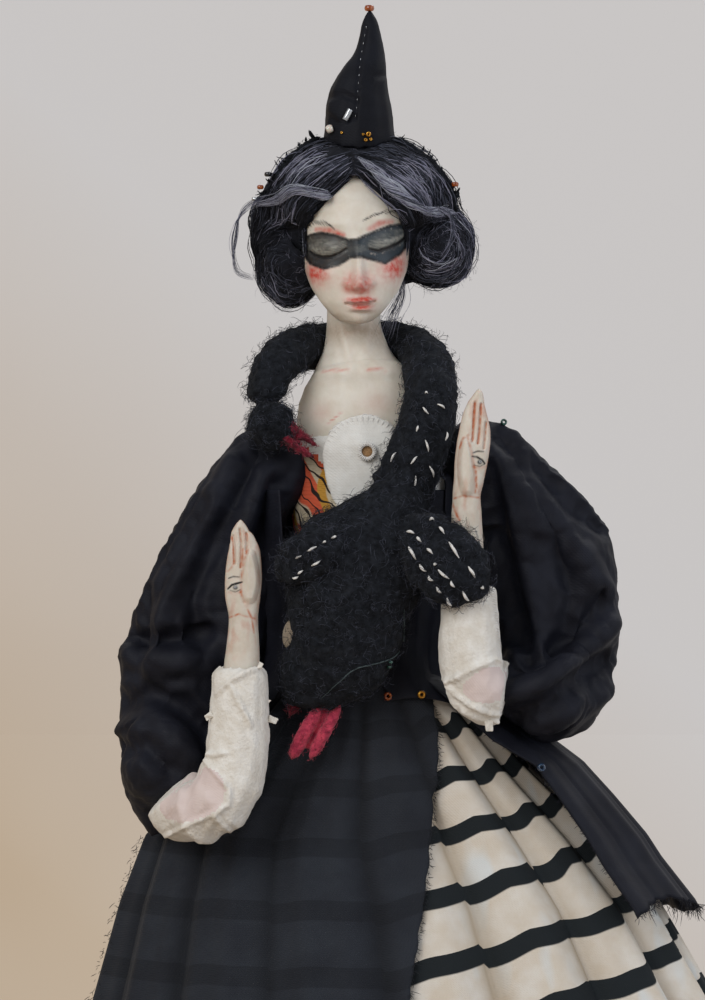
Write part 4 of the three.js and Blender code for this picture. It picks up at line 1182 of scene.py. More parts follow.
@dataclass
class Bust:
    """The clay shoulder plate with the long neck, with warm painted shadow under the chin."""

    stations: Rows = (
        (1, 0, 366.2, 0.5, 0.5),
        (1, 0, 366.6, 18.0, 12.0),
        (1, 0, 372, 19.0, 12.6),
        (1, 0, 380, 18.4, 11.9),
        (0.6, 0, 386, 16.4, 10.8),
        (0, 1, 391, 12.8, 9.8),
        (-0.5, 1.6, 397, 9.6, 8.9),
        (-1, 2, 404, 8.1, 8.0),
        (-1, 2, 412, 7.9, 7.9),
        (-1, 2, 415, 7.4, 7.4),
        (-1, 2, 415.6, 0.4, 0.4),
    )

    def build(self) -> None:
        """Makes and paints the plate, and gives the neck ball its finish."""
        plate = stuffed("clay_bust", self.stations, 96, 110, IVORY_CLAY)
        art = Sculpture(plate)
        z = art.points[:, 2]
        art.push(
            0.5 * art.stroke(((-12.0, 388.5), (-6.0, 389.6), (-2.2, 388.2)), 0.7, 1.4)
            + 0.5 * art.stroke(((9.6, 388.8), (5.0, 389.8), (2.4, 388.4)), 0.7, 1.4)
            + 0.35 * art.stroke(((-5.6, 404.0), (-3.0, 396.0), (-1.2, 390.0)), 0.5, 1.4)
            + 0.35 * art.stroke(((4.4, 404.0), (2.8, 396.0), (1.6, 390.0)), 0.5, 1.4)
        )
        # Painted shadow under the chin in warm brown, with faint random mottling and a darker patch down the
        # neck's right side.
        chin_shadow = np.clip(1 - abs(z - 401.5) / 5.5, 0, 1) * 0.6 * art.front()
        mottle = 0.12 * np.clip(art.grain(6.0, 4.0), 0, 1)
        art.paint("umber", chin_shadow + mottle + 0.25 * art.patch(6.5, 396, 2.5, 8))
        hatch = sum(
            0.45 * art.stroke(((x, z), (x + 1.4, z + 1.2)), 0.06, 0.25)
            for x, z in ((-8.6 + 0.9 * i, 373.6 + 0.8 * i) for i in range(4))
        )
        art.paint(
            "coral",
            0.5 * art.stroke(((-10.2, 389.3), (-6.0, 389.7), (-2.4, 389.5)), 0.14, 0.5)
            + 0.5 * art.stroke(((3.0, 389.8), (5.6, 390.0), (8.4, 389.6)), 0.14, 0.5)
            + 0.16 * art.patch(-11, 377, 3.5, 3) + 0.14 * art.patch(6, 380, 4.5, 3)
            + 0.12 * art.patch(3, 374, 3, 3) + hatch,
        )
        settle(plate, Place.DOLL, "ivory_clay", "shoulder_plate")
        dress(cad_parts["neck_ball"], DRAWN_STEEL)


def dress(node: Piece, finish: Finish) -> None:
    """Gives a CAD node that stays its finish."""
    node.data.materials.clear()
    node.data.materials.append(finish.material())


class Side(Enum):
    """A side of the doll as seen from the front, with its sign along X."""

    LEFT = -1
    RIGHT = 1

    def word(self) -> str:
        """The side's name as the nodes have it."""
        return self.name.lower()


def follow(
    skin: Skin, start: Vector, flow: Callable[[Vector], Vector], step: float, count: int, lift: float,
    curl: float, phase: float,
) -> np.ndarray:
    """Walks over a surface along a flow, swaying as a curly fibre does.

    Args:
        skin: The surface.
        start: Where the walk starts, in metres.
        flow: The direction to go in at a point.
        step: The length of a step, in metres.
        count: How many points to take.
        lift: The height above the surface at the walk's middle, in metres.
        curl: How far it sways to its sides.
        phase: Where its sway starts, in radians.

    Returns:
        The points.
    """
    place, path = start.copy(), []
    for i in range(count):
        near, normal, _, _ = skin.tree.find_nearest(place)
        share = i / (count - 1)
        path.append(tuple(near + normal * lift * (0.25 + math.sin(math.pi * share))))
        way = flow(near)
        way = way - normal * way.dot(normal)
        if way.length < 1e-9:
            way = Vector((1e-3, 0, 0))
        way.normalize()
        way += normal.cross(way) * curl * math.sin(phase + 1.1 * i)
        place = near + way.normalized() * step
    return np.array(path)


@dataclass
class Hair:
    """Combed black wool with grey and violet in it: a cap parted in the middle, a soft bun at each
    side, a fringe and a twisted lock along each hairline, and loose curly fibres over it all.
    """

    parting: float = -1.5
    strand_count: int = 4200
    seed: int = 5
    shades: tuple[Finish, ...] = (BLACK_WOOL, CHARCOAL_WOOL, GREY_WOOL, PALE_WOOL)
    buns: dict[Side, Vector] = field(
        default_factory=lambda: {side: middle(f"hair_bun_{side.word()}") for side in Side}
    )
    # How far the loose wool of each bun has moved from its CAD solid.
    bun_shift: dict[Side, Triple] = field(
        default_factory=lambda: {Side.LEFT: (3.6, 0.0, 1.2), Side.RIGHT: (-2.6, 0.0, 1.5)}
    )
    # The wool under the braid's left end.
    puff: Rows = (
        (-21.0, 3.0, 444.0, 0.5, 0.5), (-22.5, 2.5, 441.0, 4.5, 6.0), (-24.5, 2.0, 435.5, 7.0, 8.0),
        (-24.5, 2.0, 429.0, 7.0, 8.0), (-24.0, 2.0, 423.0, 4.0, 5.0), (-24.0, 2.0, 421.5, 0.5, 0.5),
    )
    # Where the wool is grey: middle across, height, half width and half height.
    grey: Rows = (
        (-12.0, 453.0, 9.5, 5.0), (11.5, 450.5, 9.5, 6.0), (32.0, 425.0, 7.5, 7.5), (24.0, 437.0, 5.0, 6.0),
        (-20.0, 441.0, 5.0, 3.0), (-30.0, 418.0, 5.0, 3.5),
    )
    # The hairline and the line behind it that the fringe fills up to, from the parting to the ear.
    fringe_left: tuple[Line, Line] = (
        ((-1.2, 446.9), (-6.0, 442.7), (-10.2, 438.5), (-15.0, 433.4), (-16.8, 427.0), (-16.4, 421.0)),
        ((-1.6, 454.0), (-9.0, 451.0), (-16.0, 446.0), (-21.0, 438.0), (-21.5, 430.0), (-21.0, 422.0)),
    )
    fringe_right: tuple[Line, Line] = (
        ((-0.6, 446.9), (4.5, 443.6), (9.4, 439.0), (14.6, 435.2), (17.4, 429.0), (17.0, 422.0)),
        ((-0.6, 454.0), (8.0, 451.0), (16.0, 446.0), (21.5, 438.0), (22.0, 430.0), (21.5, 422.0)),
    )

    def flow(self, place: Vector) -> Vector:
        """The way that the wool is combed: off the parting, down the side and round the bun."""
        side = Side.RIGHT if place.x > self.parting * MM else Side.LEFT
        down = min(1.0, abs(place.x) / 0.026)
        comb = Vector((side.value * (1.2 - 0.7 * down), 0.2, -0.2 - 1.0 * down)).normalized()
        out = place - self.buns[side]
        roll = Vector((out.z * side.value, 0.15 * out.length, -out.x * side.value)).normalized()
        near = max(0.0, min(1.0, (0.019 - out.length) / 0.006))
        return comb * (1 - near) + roll * near

    def guide(self, forms: Sequence[Piece]) -> Skin:
        """The outer shape of the whole hairdo, which bridges the clefts beside the buns."""
        bm = bmesh.new()
        for form in forms:
            bm.from_mesh(form.data)
        mass = evened("hair_guide", bm, BLACK_WOOL, 1.0, 6)
        Sculpture(mass).push(np.full(len(mass.data.vertices), 0.15))
        skin = Skin(mass)
        bpy.data.objects.remove(mass)
        return skin

    def shade(self, x: float, z: float, random: np.random.Generator) -> int:
        """Picks a fibre's shade: grey ones lie together in patches, each with a few others in it."""
        patch = sum(
            math.exp(-(((x - a) / wide) ** 2) - ((z - b) / tall) ** 2) for a, b, wide, tall in self.grey
        )
        streak = noise.noise(Vector((x * 0.16, z * 0.34, 0.0)))
        return int(np.clip(2.4 * patch + 1.1 * streak + random.normal(0.25, 0.55), 0, 3))

    def tresses(self, guide: Skin, side: Side) -> None:
        """Lays one side's combed and curled fibres over the guide."""
        random = np.random.default_rng(self.seed + side.value)
        starts, _ = guide.spread(self.strand_count, random)
        paths, picks = [], []
        for start in starts:
            place = Vector(start)
            x, y, z = start / MM
            face = abs(x) < 17.5 and z < 447 - abs(x) * 0.8 and y < -2
            if bool(x > self.parting) != (side is Side.RIGHT) or face or z < 403:
                continue
            lift = random.uniform(0.0, 0.8) ** 2 * 1.3 * MM
            if random.random() < 0.06:
                lift += random.uniform(0.5, 2.0) * MM
            curl = random.uniform(0.1, 0.7)
            steps = int(random.integers(6, 11))
            paths.append(follow(guide, place, self.flow, 2.0 * MM, steps, lift, curl, random.uniform(0, 6.3)))
            picks.append(self.shade(x, z, random))
        combed = strands(f"combed_wool_{side.word()}", paths, 0.12, self.shades, picks)
        settle(combed, Place.HEAD, "black_wool")

    def fringe(self, side: Side, head: Skin, guide: Skin) -> None:
        """Combs the wool at the hairline along it, over the edge of the forehead."""
        random = np.random.default_rng(41 + side.value)
        inner, outer = self.fringe_left if side is Side.LEFT else self.fringe_right
        low, high = (along_line([(x, 0.0, z) for x, z in line], 40) for line in (inner, outer))
        paths, picks = [], []
        for _ in range(420):
            across, begin = random.random() ** 1.4, random.uniform(0, 0.55)
            long = random.uniform(0.25, 0.45)
            lift, sway = random.uniform(0.1, 1.3), random.uniform(0, 6.3)
            path = []
            for share in np.linspace(begin, begin + long, 9):
                drift = across + 0.05 * math.sin(9 * share + sway)
                row = int(min(share, 1.0) * 39)
                x, _, z = low[row] * (1 - drift) + high[row] * drift
                spots = [skin.front(x, z) for skin in (head, guide)]
                place, normal = min(spots, key=lambda spot: spot[0].y)
                path.append(place + normal * lift * MM)
            paths.append(np.array(path))
            picks.append(self.shade(path[0].x / MM, path[0].z / MM, random))
        fringe = strands(f"fringe_wool_{side.word()}", paths, 0.16, self.shades, picks)
        settle(fringe, Place.HEAD, "black_wool")

    def lock(self, side: Side, path: Sequence[Pair], skin: Skin) -> None:
        """Lays a loosely twisted, fuzzy lock of grey wool along the hairline."""
        line = []
        for x, z in path:
            place, normal = skin.front(x, z)
            line.append(tuple((place + normal * 2.4 * MM) / MM))
        centre = along_line(line, 60) * MM
        random = np.random.default_rng(20 + side.value)
        ways = np.gradient(centre, axis=0)
        ways /= np.linalg.norm(ways, axis=1)[:, None]
        aside = np.cross(ways, (0, 1, 0))
        outward = np.cross(aside, ways)
        share = np.linspace(0, 1, 60)
        thin = np.interp(share, [0, 0.12, 0.35, 0.6, 0.85, 1], [0.3, 0.8, 1.2, 0.7, 1.0, 0.2])[:, None]
        paths, picks = [], []
        for _ in range(90):
            start, radius = random.uniform(0, math.tau), random.uniform(0.1, 1.0) ** 0.6 * 1.7 * MM
            angle = start + share * math.tau * random.uniform(1.0, 2.2)
            stray = np.cumsum(random.normal(0, 0.05, (60, 3)), axis=0) * MM
            ring = aside * np.cos(angle)[:, None] + outward * 0.5 * np.sin(angle)[:, None]
            first, last = int(random.integers(0, 20)), int(random.integers(38, 60))
            paths.append((centre + ring * radius * thin + stray)[first:last])
            picks.append(int(random.choice([0, 1, 1, 2, 2])))
        lock = strands(
            f"twisted_lock_{side.word()}", paths, 0.11, (CHARCOAL_WOOL, GREY_WOOL, PALE_WOOL), picks
        )
        settle(lock, Place.HEAD, "grey_wool", f"hair_lock_{side.word()}")

    def wisp(self, name: str, path: Sequence[Triple], count: int, width: float, seed: int) -> None:
        """Lets a loose wisp of fibres hang along a line, in millimetres."""
        random = np.random.default_rng(seed)
        centre = along_line(path, 26)
        share = np.linspace(0, 1, 26)[:, None]
        paths = []
        for _ in range(count):
            shift = random.normal(0, width, 3) * (0.4 + share) + random.normal(0, 0.5, 3) * np.sin(share * 9)
            paths.append((centre + shift) * MM)
        wisp = strands(name, paths, 0.06, (GREY_WOOL, CHARCOAL_WOOL), random.integers(0, 2, count))
        settle(wisp, Place.HEAD, "grey_wool")

    def build(self, head: Skin) -> Skin:
        """Makes all of the hair.

        Args:
            head: The surface of the head, for the fringe to lie on.

        Returns:
            The surface of the cap, for what is set on it.
        """
        cap = remeshed("hair_cap_wool", "hair_cap", BLACK_WOOL, 0.9, 5)
        art = Sculpture(cap)
        x, y, z = art.points.T
        cheek = np.clip((438 - z) / 6, 0, 1) * np.clip((abs(x) - 12) / 3, 0, 1) * np.clip((2 - y) / 8, 0, 1)
        y += 7.0 * cheek
        art.write()
        art.push(0.55 * art.grain(5.0, 1.0, (0.6, 1.6, 1.2)) + 0.3 * art.grain(2.2, 2.0, (0.5, 1.5, 1.5)))
        settle(cap, Place.HEAD, "black_wool", "hair_cap")
        buns = {}
        for side in Side:
            word = side.word()
            bun = remeshed(f"bun_{word}", f"hair_bun_{word}", BLACK_WOOL, 0.9, 4)
            art = Sculpture(bun)
            centre = np.array(self.buns[side]) / MM
            shift = np.array(self.bun_shift[side])
            art.points = centre + shift + (art.points - centre) * (0.95, 1.0, 1.0)
            art.write()
            self.buns[side] += Vector(shift) * MM
            art.push(1.3 * art.grain(7.0, 3.0) + 0.7 * art.grain(3.0, 6.0) - 0.4)
            buns[word] = settle(bun, Place.HEAD, "black_wool", f"hair_bun_{word}")
        puff = stuffed("wool_puff_left", self.puff, 40, 40, BLACK_WOOL)
        settle(puff, Place.HEAD, "black_wool")
        guide = self.guide([cap, puff, *buns.values()])
        for side in Side:
            self.tresses(guide, side)
            self.fringe(side, head, guide)
        for word, source in (("cap", cap), *buns.items()):
            halo = fuzz(f"halo_{word}", source, 800, 5.0, 0.7, 50 + len(word), self.shades[:3], 0.035)
            settle(halo, Place.HEAD, "black_wool")
        self.lock(
            Side.LEFT,
            ((-0.9, 450.8), (-6, 444.6), (-10.2, 442.2), (-17.1, 442.4), (-22.2, 439.7),
             (-29.1, 438.2), (-32.4, 436.4)),
            guide,
        )
        self.lock(
            Side.RIGHT,
            ((0.3, 451.1), (5.1, 448.0), (10.5, 443.0), (15.6, 438.9), (21, 437.6), (24.6, 437.6),
             (27.5, 437.0)), guide,
        )
        self.wisp(
            "loop_wisp_left",
            ((-27, -6, 442), (-33, -8, 438), (-36, -9, 433), (-37, -9, 426), (-35.5, -8, 419),
             (-31, -7, 417)),
            22, 0.3, 31,
        )
        self.wisp(
            "curl_right",
            ((23, -17, 438), (27, -18, 436), (28.5, -18, 431), (27, -17.5, 426), (25, -16, 423)), 16, 0.3, 32,
        )
        self.wisp("nape_wisp", ((13, 4, 424), (13.5, 2, 414), (10.5, 0, 406), (8.5, -2, 400)), 34, 0.9, 33)
        self.wisp(
            "brow_wisp",
            ((1.0, -19.5, 446.0), (6.0, -20.0, 441.0), (11.5, -18.0, 437.0), (15.0, -14.5, 433.0)),
            6,
            0.12,
            34,
        )
        return guide


@dataclass
class Hat:
    """The stuffed satin cone with a stitched front seam, its beads and the feathered braid."""

    seam: Line = (
        (2.8, 492.5), (1.8, 487.0), (0.9, 481.0), (0.4, 475.0), (0.0, 469.0), (-0.6, 464.0),
    )
    braid_leaves: int = 30
    # The braid lies closer to the head's middle than its CAD solid, and its ends hang lower.
    crown: Triple = (-0.5, 3.0, 437.0)
    crown_pull: float = 0.965
    crown_drop: float = 4.6
    # Where the two larger beads lie at the hat's foot, across and up.
    foot_beads: dict[str, Pair] = field(
        default_factory=lambda: {"hat_bead_pearl": (-7.4, 461.5), "hat_bead_gold": (3.2, 459.6)}
    )

    def settled(self, points: np.ndarray) -> np.ndarray:
        """The places of the crown's points, in millimetres, once it has settled into the hair."""
        crown = np.array(self.crown)
        points = crown + (points - crown) * self.crown_pull
        points[..., 2] -= self.crown_drop * np.clip((abs(points[..., 0] - crown[0]) - 12) / 16, 0, 1)
        return points

    def cone(self) -> Skin:
        """Makes the cone with its pulls and its seam."""
        cone = remeshed("satin_cone", "hat", BLACK_SATIN, 0.6, 8)
        art = Sculpture(cone)
        z = art.points[:, 2]
        z += 2.1 * np.clip((z - 484) / 11, 0, 1) ** 2
        art.write()
        low = np.clip((487 - z) / 14, 0, 1)
        art.push(
            -0.45 * art.stroke(self.seam, 0.12, 0.7)
            - 0.7 * low * art.stroke(((-0.2, 470.0), (-4.5, 472.0), (-9.0, 471.0)), 0.3, 1.4)
            - 0.6 * low * art.stroke(((0.6, 474.0), (5.0, 477.5), (8.5, 478.0)), 0.3, 1.3)
            - 0.5 * low * art.stroke(((-1.0, 465.0), (-5.5, 463.0), (-8.6, 466.0)), 0.3, 1.2)
            + 0.5 * art.patch(-7, 466, 2.6, 4.6, 20) + 0.45 * art.grain(7, 3, (1, 1, 2.2)) * low
        )
        settle(refined(cone), Place.HEAD, "black_satin", "hat")
        skin = Skin(cone)
        line = along_line([(x, 0.0, z) for x, z in self.seam], 24)
        stitches = [Stitch(x, z, 84.0, 0.75) for x, _, z in line[::2]]
        settle(sewn("hat_seam_stitches", skin, stitches, 0.13, SILVER_GLASS), Place.HEAD, "black_satin")
        return skin

    def beads(self, skin: Skin) -> None:
        """Sets the beads of the tip, the hat's foot and the crown."""
        up, out = Vector((0, 0, 1)), Vector((0, -1, 0))
        for name, node, radius, axis, finish, slot in (
            ("tip_bead", "hat_tip_bead", 1.6, up, AMBER_GLASS, "amber_glass"),
            ("pearl_bead_hat", "hat_bead_pearl", 1.35, Vector((1, 0, 0.4)), PEARL, "pearl_bead"),
            ("gold_bead_hat", "hat_bead_gold", 0.9, out, GOLD_GLASS, "gold_bead"),
            ("black_bead_crown", "crown_bead_black", 1.2, up, BLACK_GLASS, "black_satin"),
            ("amber_bead_left", "crown_bead_amber_left", 1.1, up, AMBER_GLASS, "amber_glass"),
            ("clear_bead_crown", "crown_bead_clear", 1.0, up, SILVER_GLASS, "pearl_bead"),
            ("amber_bead_right", "crown_bead_amber_right", 1.2, up, AMBER_GLASS, "amber_glass"),
        ):
            place = middle(node)
            tall, hole = 0.62, 0.26
            if node.startswith("crown"):
                place = Vector(self.settled(np.array(place) / MM)) * MM
                place.y -= 3 * MM
            elif node.startswith("hat_bead"):
                spot, normal = skin.front(*self.foot_beads[node])
                place, tall, hole = spot + normal * 0.8 * radius * MM, 0.85, 0.14
            settle(bead_piece(name, place, radius, axis, finish, tall, hole), Place.HEAD, slot, node)
        bm = bmesh.new()
        for x, z, radius in ((2.4, 458.0, 0.55), (3.9, 458.2, 0.5), (1.7, 459.6, 0.4), (-4.4, 460.2, 0.4)):
            place, normal = skin.front(x, z)
            bead(bm, place + normal * radius * MM, radius, normal)
        bmesh.ops.recalc_face_normals(bm, faces=bm.faces)
        settle(from_bmesh("tiny_beads_hat", bm, [GOLD_GLASS]), Place.HEAD, "gold_bead")
        place, normal = skin.front(-2.7, 465.6)
        bm = bmesh.new()
        tilt = Matrix.Translation(place + normal * 0.9 * MM) @ Matrix.Rotation(math.radians(28), 4, "Y")
        bmesh.ops.create_cone(
            bm, cap_ends=True, segments=12, radius1=0.85 * MM, radius2=0.85 * MM, depth=3.6 * MM, matrix=tilt
        )
        ends = [face for face in bm.faces if len(face.verts) > 4]
        bmesh.ops.inset_individual(bm, faces=ends, thickness=0.4 * MM, depth=-0.5 * MM)
        bmesh.ops.bevel(
            bm, geom=bm.edges[:], offset=0.08 * MM, segments=2, profile=0.5, affect="EDGES", material=-1
        )
        settle(from_bmesh("bugle_bead", bm, [SILVER_GLASS]), Place.HEAD, "pearl_bead")

    def braid(self, side: Side) -> None:
        """Makes the braid of small black leaves and feathers over one side of the crown."""
        node = f"crown_trim_{side.word()}"
        source = remeshed(f"braid_core_{side.word()}", node, BLACK_FELT, 0.5, 3)
        art = Sculpture(source)
        art.points = self.settled(art.points)
        art.write()
        art.push(0.35 * art.grain(1.2, 7.0) - 0.1)
        settle(source, Place.HEAD, "black_felt", node)
        random = np.random.default_rng(60 + side.value)
        starts, normals = Skin(source).spread(self.braid_leaves * 4, random)
        bm = bmesh.new()
        made = 0
        for start, normal in zip(starts, normals, strict=True):
            out = Vector(start) - Vector((0.5 * MM, 3 * MM, 437 * MM))
            if Vector(normal).dot(out.normalized()) < 0.2 or made >= self.braid_leaves:
                continue
            made += 1
            long, wide = random.uniform(0.8, 1.9) * MM, random.uniform(0.4, 0.7) * MM
            leaf = bmesh.ops.create_circle(bm, cap_ends=True, segments=8, radius=1)["verts"]
            bmesh.ops.scale(bm, verts=leaf, vec=(wide, long, 1))
            for vert in leaf:
                bend = vert.co.y / long
                vert.co.x *= 1.0 - 0.55 * max(bend, 0) ** 2
                vert.co.z = 0.35 * MM * bend**2
                vert.co.y += long * 0.75
            way = Vector(normal) * 0.8 + Vector(random.normal(0, 0.6, 3))
            turn = way.to_track_quat("Y", "Z").to_matrix().to_4x4()
            bmesh.ops.transform(bm, matrix=Matrix.Translation(start) @ turn, verts=leaf)
        bmesh.ops.solidify(bm, geom=bm.faces[:], thickness=0.18 * MM)
        leaves = from_bmesh(f"braid_leaves_{side.word()}", bm, [BLACK_FELT])
        settle(leaves, Place.HEAD, "black_felt")
        settle(
            fuzz(f"braid_fuzz_{side.word()}", source, 260, 1.8, 0.8, 70 + side.value, [BLACK_WOOL], 0.06),
            Place.HEAD, "black_felt",
        )

    def build(self) -> None:
        """Makes the hat and everything on it."""
        skin = self.cone()
        self.beads(skin)
        for side in Side:
            self.braid(side)


@dataclass(frozen=True)
class Cut:
    """The flared piece a cloth was cut to before it was hung: its two edges and its drop, in metres."""

    top: float
    hem: float
    drop: float

    @property
    def flat(self) -> Pair:
        """The cut's greatest width and its length."""
        return (max(self.top, self.hem), self.drop)

    @property
    def area(self) -> float:
        """The cut's flat area in square metres."""
        return (self.top + self.hem) / 2 * self.drop


@dataclass
class Skirts:
    """The striped underskirt, the sheer panel over it and the coat's tail.

    All three hang from one common shape: an oval that widens from the waist down, with sharp
    creases at even turns and round crests between them, which deepen towards the hem.
    """

    levels: Rows = (
        # height, middle across, middle of depth, half width, half depth
        (299.7, 3, 0, 19.5, 16.5),
        (292, 4, 1, 27, 20),
        (271, 5, 6, 46, 26),
        (250, 6, 8, 67, 30),
        (230, 11, 8, 79, 39.5),
        (201, 16, 6, 91, 50),
        (118, 20, 3, 110, 73),
        (90, 20, 2, 115, 80),
    )
    first_crease: float = -72.0
    fold_turn: float = 22.5
    fold_depth: float = 11.0
    # The front edge of the sheer panel, across by height.
    panel_edge: Line = (
        (118.0, 2.0), (200.9, 14.4), (226.7, 18.6), (255.8, 22.5), (273.5, 24.0), (290.9, 23.1),
        (299.5, 22.5),
    )
    # The tail's hem: how far across it, and the height there.
    tail_bow: Line = (
        (0.0, 227.5), (0.04, 230.5), (0.13, 232.6), (0.26, 230.5), (0.42, 226.0), (0.7, 229.0),
        (1.0, 228.0),
    )
    # How far the tail stands off the skirt, by height.
    tail_stand: Line = (
        (228.0, 11.0), (243.0, 12.0), (262.0, 16.0), (272.0, 17.5), (279.0, 15.0), (290.0, 8.0),
        (299.5, 2.6),
    )
    # The waist is 135 mm round and gathers twice that much cloth; the hem is 620 mm round and
    # hangs in shallow folds. The drop is the slope's length, not its height.
    striped_cut: Cut = Cut(top=0.270, hem=0.660, drop=0.215)
    # The panel goes half way round, from the front to the middle of the back.
    panel_cut: Cut = Cut(top=0.140, hem=0.315, drop=0.190)
    # The tail goes from the right of the front to the middle of the back, and stops at the hips.
    tail_cut: Cut = Cut(top=0.060, hem=0.170, drop=0.090)
    # How far the stripes climb from the panel's edge to the tail's, by height.
    stripe_climb: Line = ((90.0, 18.0), (212.0, 18.0), (245.0, 14.0), (257.0, 10.0), (285.0, 0.0))

    def spread(self, z: np.ndarray) -> tuple[np.ndarray, ...]:
        """The common oval's middle and half sizes at some heights."""
        rows = np.array(self.levels)[::-1]
        return tuple(np.interp(z, rows[:, 0], rows[:, i]) for i in (1, 2, 3, 4))

    def fold(self, degrees: np.ndarray) -> np.ndarray:
        """How far along its fold each place is, from 0 at one crease to 1 at the next."""
        return np.mod((degrees - self.first_crease) / self.fold_turn, 1.0)

    def at(
        self, degrees: np.ndarray, z: np.ndarray, lift: np.ndarray | float, ease: float = 0.0
    ) -> np.ndarray:
        """Points of the common shape, in millimetres.

        Args:
            degrees: Where round the skirt, 0 at +X and -90 at the front.
            z: The heights.
            lift: How far off the shape.
            ease: How much of each crease is bridged over, from 0 to 1.

        Returns:
            One point for each pair of values.
        """
        x, y, wide, deep = self.spread(z)
        angle = np.radians(degrees)
        share = (self.levels[0][0] - z) / (self.levels[0][0] - self.levels[-1][0])
        crest = ease + (1 - ease) * np.sin(np.pi * self.fold(degrees)) ** 0.75
        small = 0.07 * np.cos(37 * angle + 2.0 * np.sin(3 * angle)) + 0.1 * np.cos(5 * angle + z * 0.02)
        out = lift + self.fold_depth * np.sqrt(np.clip(share, 0, 1)) * (crest + small - 0.75)
        return np.column_stack([x + (wide + out) * np.cos(angle), y + (deep + out) * np.sin(angle), z])

    def climb(self, degrees: np.ndarray, z: np.ndarray) -> np.ndarray:
        """How far the stripes lie above their level: they climb to the right and step at each crease."""
        along = self.fold(degrees)
        step = np.clip(2.4 * along, 0, 1) - 0.35 * np.clip((along - 0.5) / 0.5, 0, 1) - 0.5
        strong = np.interp(degrees, [-96, -73, -71, -50, -49, -28], [2.0, 2.0, 4.5, 4.5, 6.0, 6.0])
        fade = np.where(degrees > -50.5, np.clip((z - 225) / 14, 0.15, 1), 1.0)
        right = np.interp(z, *np.array(self.stripe_climb).T) * np.clip((degrees + 92) / 50, 0, 1.9)
        return right + step * strong * fade

    def sheet(
        self, name: str, finish: Finish, top: float, hem: Callable[[np.ndarray], np.ndarray],
        edges: tuple[Callable[[np.ndarray], np.ndarray], Callable[[np.ndarray], np.ndarray]],
        lift: Callable[[np.ndarray, np.ndarray], np.ndarray], size: tuple[int, int], thick: float,
        ease: float = 0.0, closed: bool = False,
    ) -> Piece:
        """Hangs one cloth from the common shape.

        Args:
            name: The piece's name.
            finish: Its finish.
            top: The height of its top edge.
            hem: The height of its hem by how far across the cloth it is, from 0 to 1.
            edges: The degrees of its two upright edges by height.
            lift: How far it lies off the shape, by degrees and height.
            size: How many columns and rows of faces.
            thick: Its thickness.
            ease: How much of each crease it bridges over.
            closed: Whether its edges meet.

        Returns:
            The piece.
        """
        bm = bmesh.new()
        bmesh.ops.create_grid(bm, x_segments=size[0], y_segments=size[1], size=0.5)
        across = np.array([vert.co.x + 0.5 for vert in bm.verts])
        down = np.array([0.5 - vert.co.y for vert in bm.verts])
        z = top + (hem(across) - top) * down
        degrees = edges[0](z) + (edges[1](z) - edges[0](z)) * across
        points = self.at(degrees, z, lift(degrees, z), ease)
        for vert, point in zip(bm.verts, points, strict=True):
            vert.co = Vector(point) * MM
        if closed:
            bmesh.ops.remove_doubles(bm, verts=bm.verts, dist=1e-6)
        bmesh.ops.recalc_face_normals(bm, faces=bm.faces)
        middle_face = min(bm.faces, key=lambda face: face.calc_center_median().y)
        if middle_face.normal.y > 0:
            bmesh.ops.reverse_faces(bm, faces=bm.faces)
        piece = from_bmesh(name, bm, [finish])
        art = Sculpture(piece)
        x, y, z = art.points.T
        middle_x, middle_y, wide, deep = self.spread(z)
        degrees = np.degrees(np.arctan2((y - middle_y) / deep, (x - middle_x) / wide))
        heights = np.linspace(self.levels[0][0], self.levels[-1][0], 80)
        _, _, wide, deep = self.spread(heights)
        slant = np.concatenate([[0], np.cumsum(np.hypot(np.diff(heights), np.diff(wide + deep) / 2))])
        art.paint("down", (np.interp(-z, -heights, slant) + self.climb(degrees, z)) * MM)
        # Painted shade: strongest in each crease, fading to none on the crests.
        art.paint("valley", (1 - ease) * np.clip(1 - np.sin(np.pi * self.fold(degrees)) * 1.6, 0, 1) ** 1.5)
        wall = piece.modifiers.new("cloth", "SOLIDIFY")
        wall.thickness = thick * MM
        wall.offset = -1
        return piece

    @staticmethod
    def declare(piece: Piece, cut: Cut, held: str, below: str) -> None:
        """Takes a cloth and the size it was cut to before it was hung, and does nothing with them."""

    def frayed(self, name: str, paths: list[np.ndarray], finish: Finish, slot: str) -> None:
        """Lets loose threads hang from a torn edge."""
        settle(strands(name, paths, 0.09, [finish], [0] * len(paths)), Place.DOLL, slot)

    def threads(self, points: np.ndarray, long: float, seed: int, way: Triple) -> list[np.ndarray]:
        """Short loose threads from points of an edge, in millimetres."""
        random = np.random.default_rng(seed)
        share = np.linspace(0, 1, 6)[:, None]
        paths = []
        for point in points:
            reach = (np.array(way) + random.normal(0, 0.55, 3)) * long * random.uniform(0.2, 1.0)
            bend = random.normal(0, 0.35, 3) * long
            paths.append((point + reach * share + bend * share * (1 - share)) * MM)
        return paths

    def build(self) -> None:
        """Hangs the three cloths and frays their edges."""
        flat = np.full_like
        striped = self.sheet(
            "striped_underskirt", STRIPED_COTTON, 299.5, lambda a: flat(a, 90.0),
            (lambda z: flat(z, -180.0), lambda z: flat(z, 180.0)), lambda d, z: flat(z, 0.0),
            (320, 60), 0.5,
            closed=True,
        )
        self.declare(striped, self.striped_cut, "gathered", "torso")
        settle(striped, Place.DOLL, "striped_cotton", "striped_skirt")

        def panel_front(z: np.ndarray) -> np.ndarray:
            x = np.interp(z, *np.array(self.panel_edge).T) + 0.25 * np.sin(z * 2.1) + 0.15 * np.sin(z * 5.3)
            centre, _, wide, _ = self.spread(z)
            return np.degrees(-np.arccos(np.clip((x - centre) / (wide + 2), -1, 1)))

        def panel_hem(a: np.ndarray) -> np.ndarray:
            return 118 + 1.2 * np.sin(a * 40) + 0.8 * np.sin(a * 97)

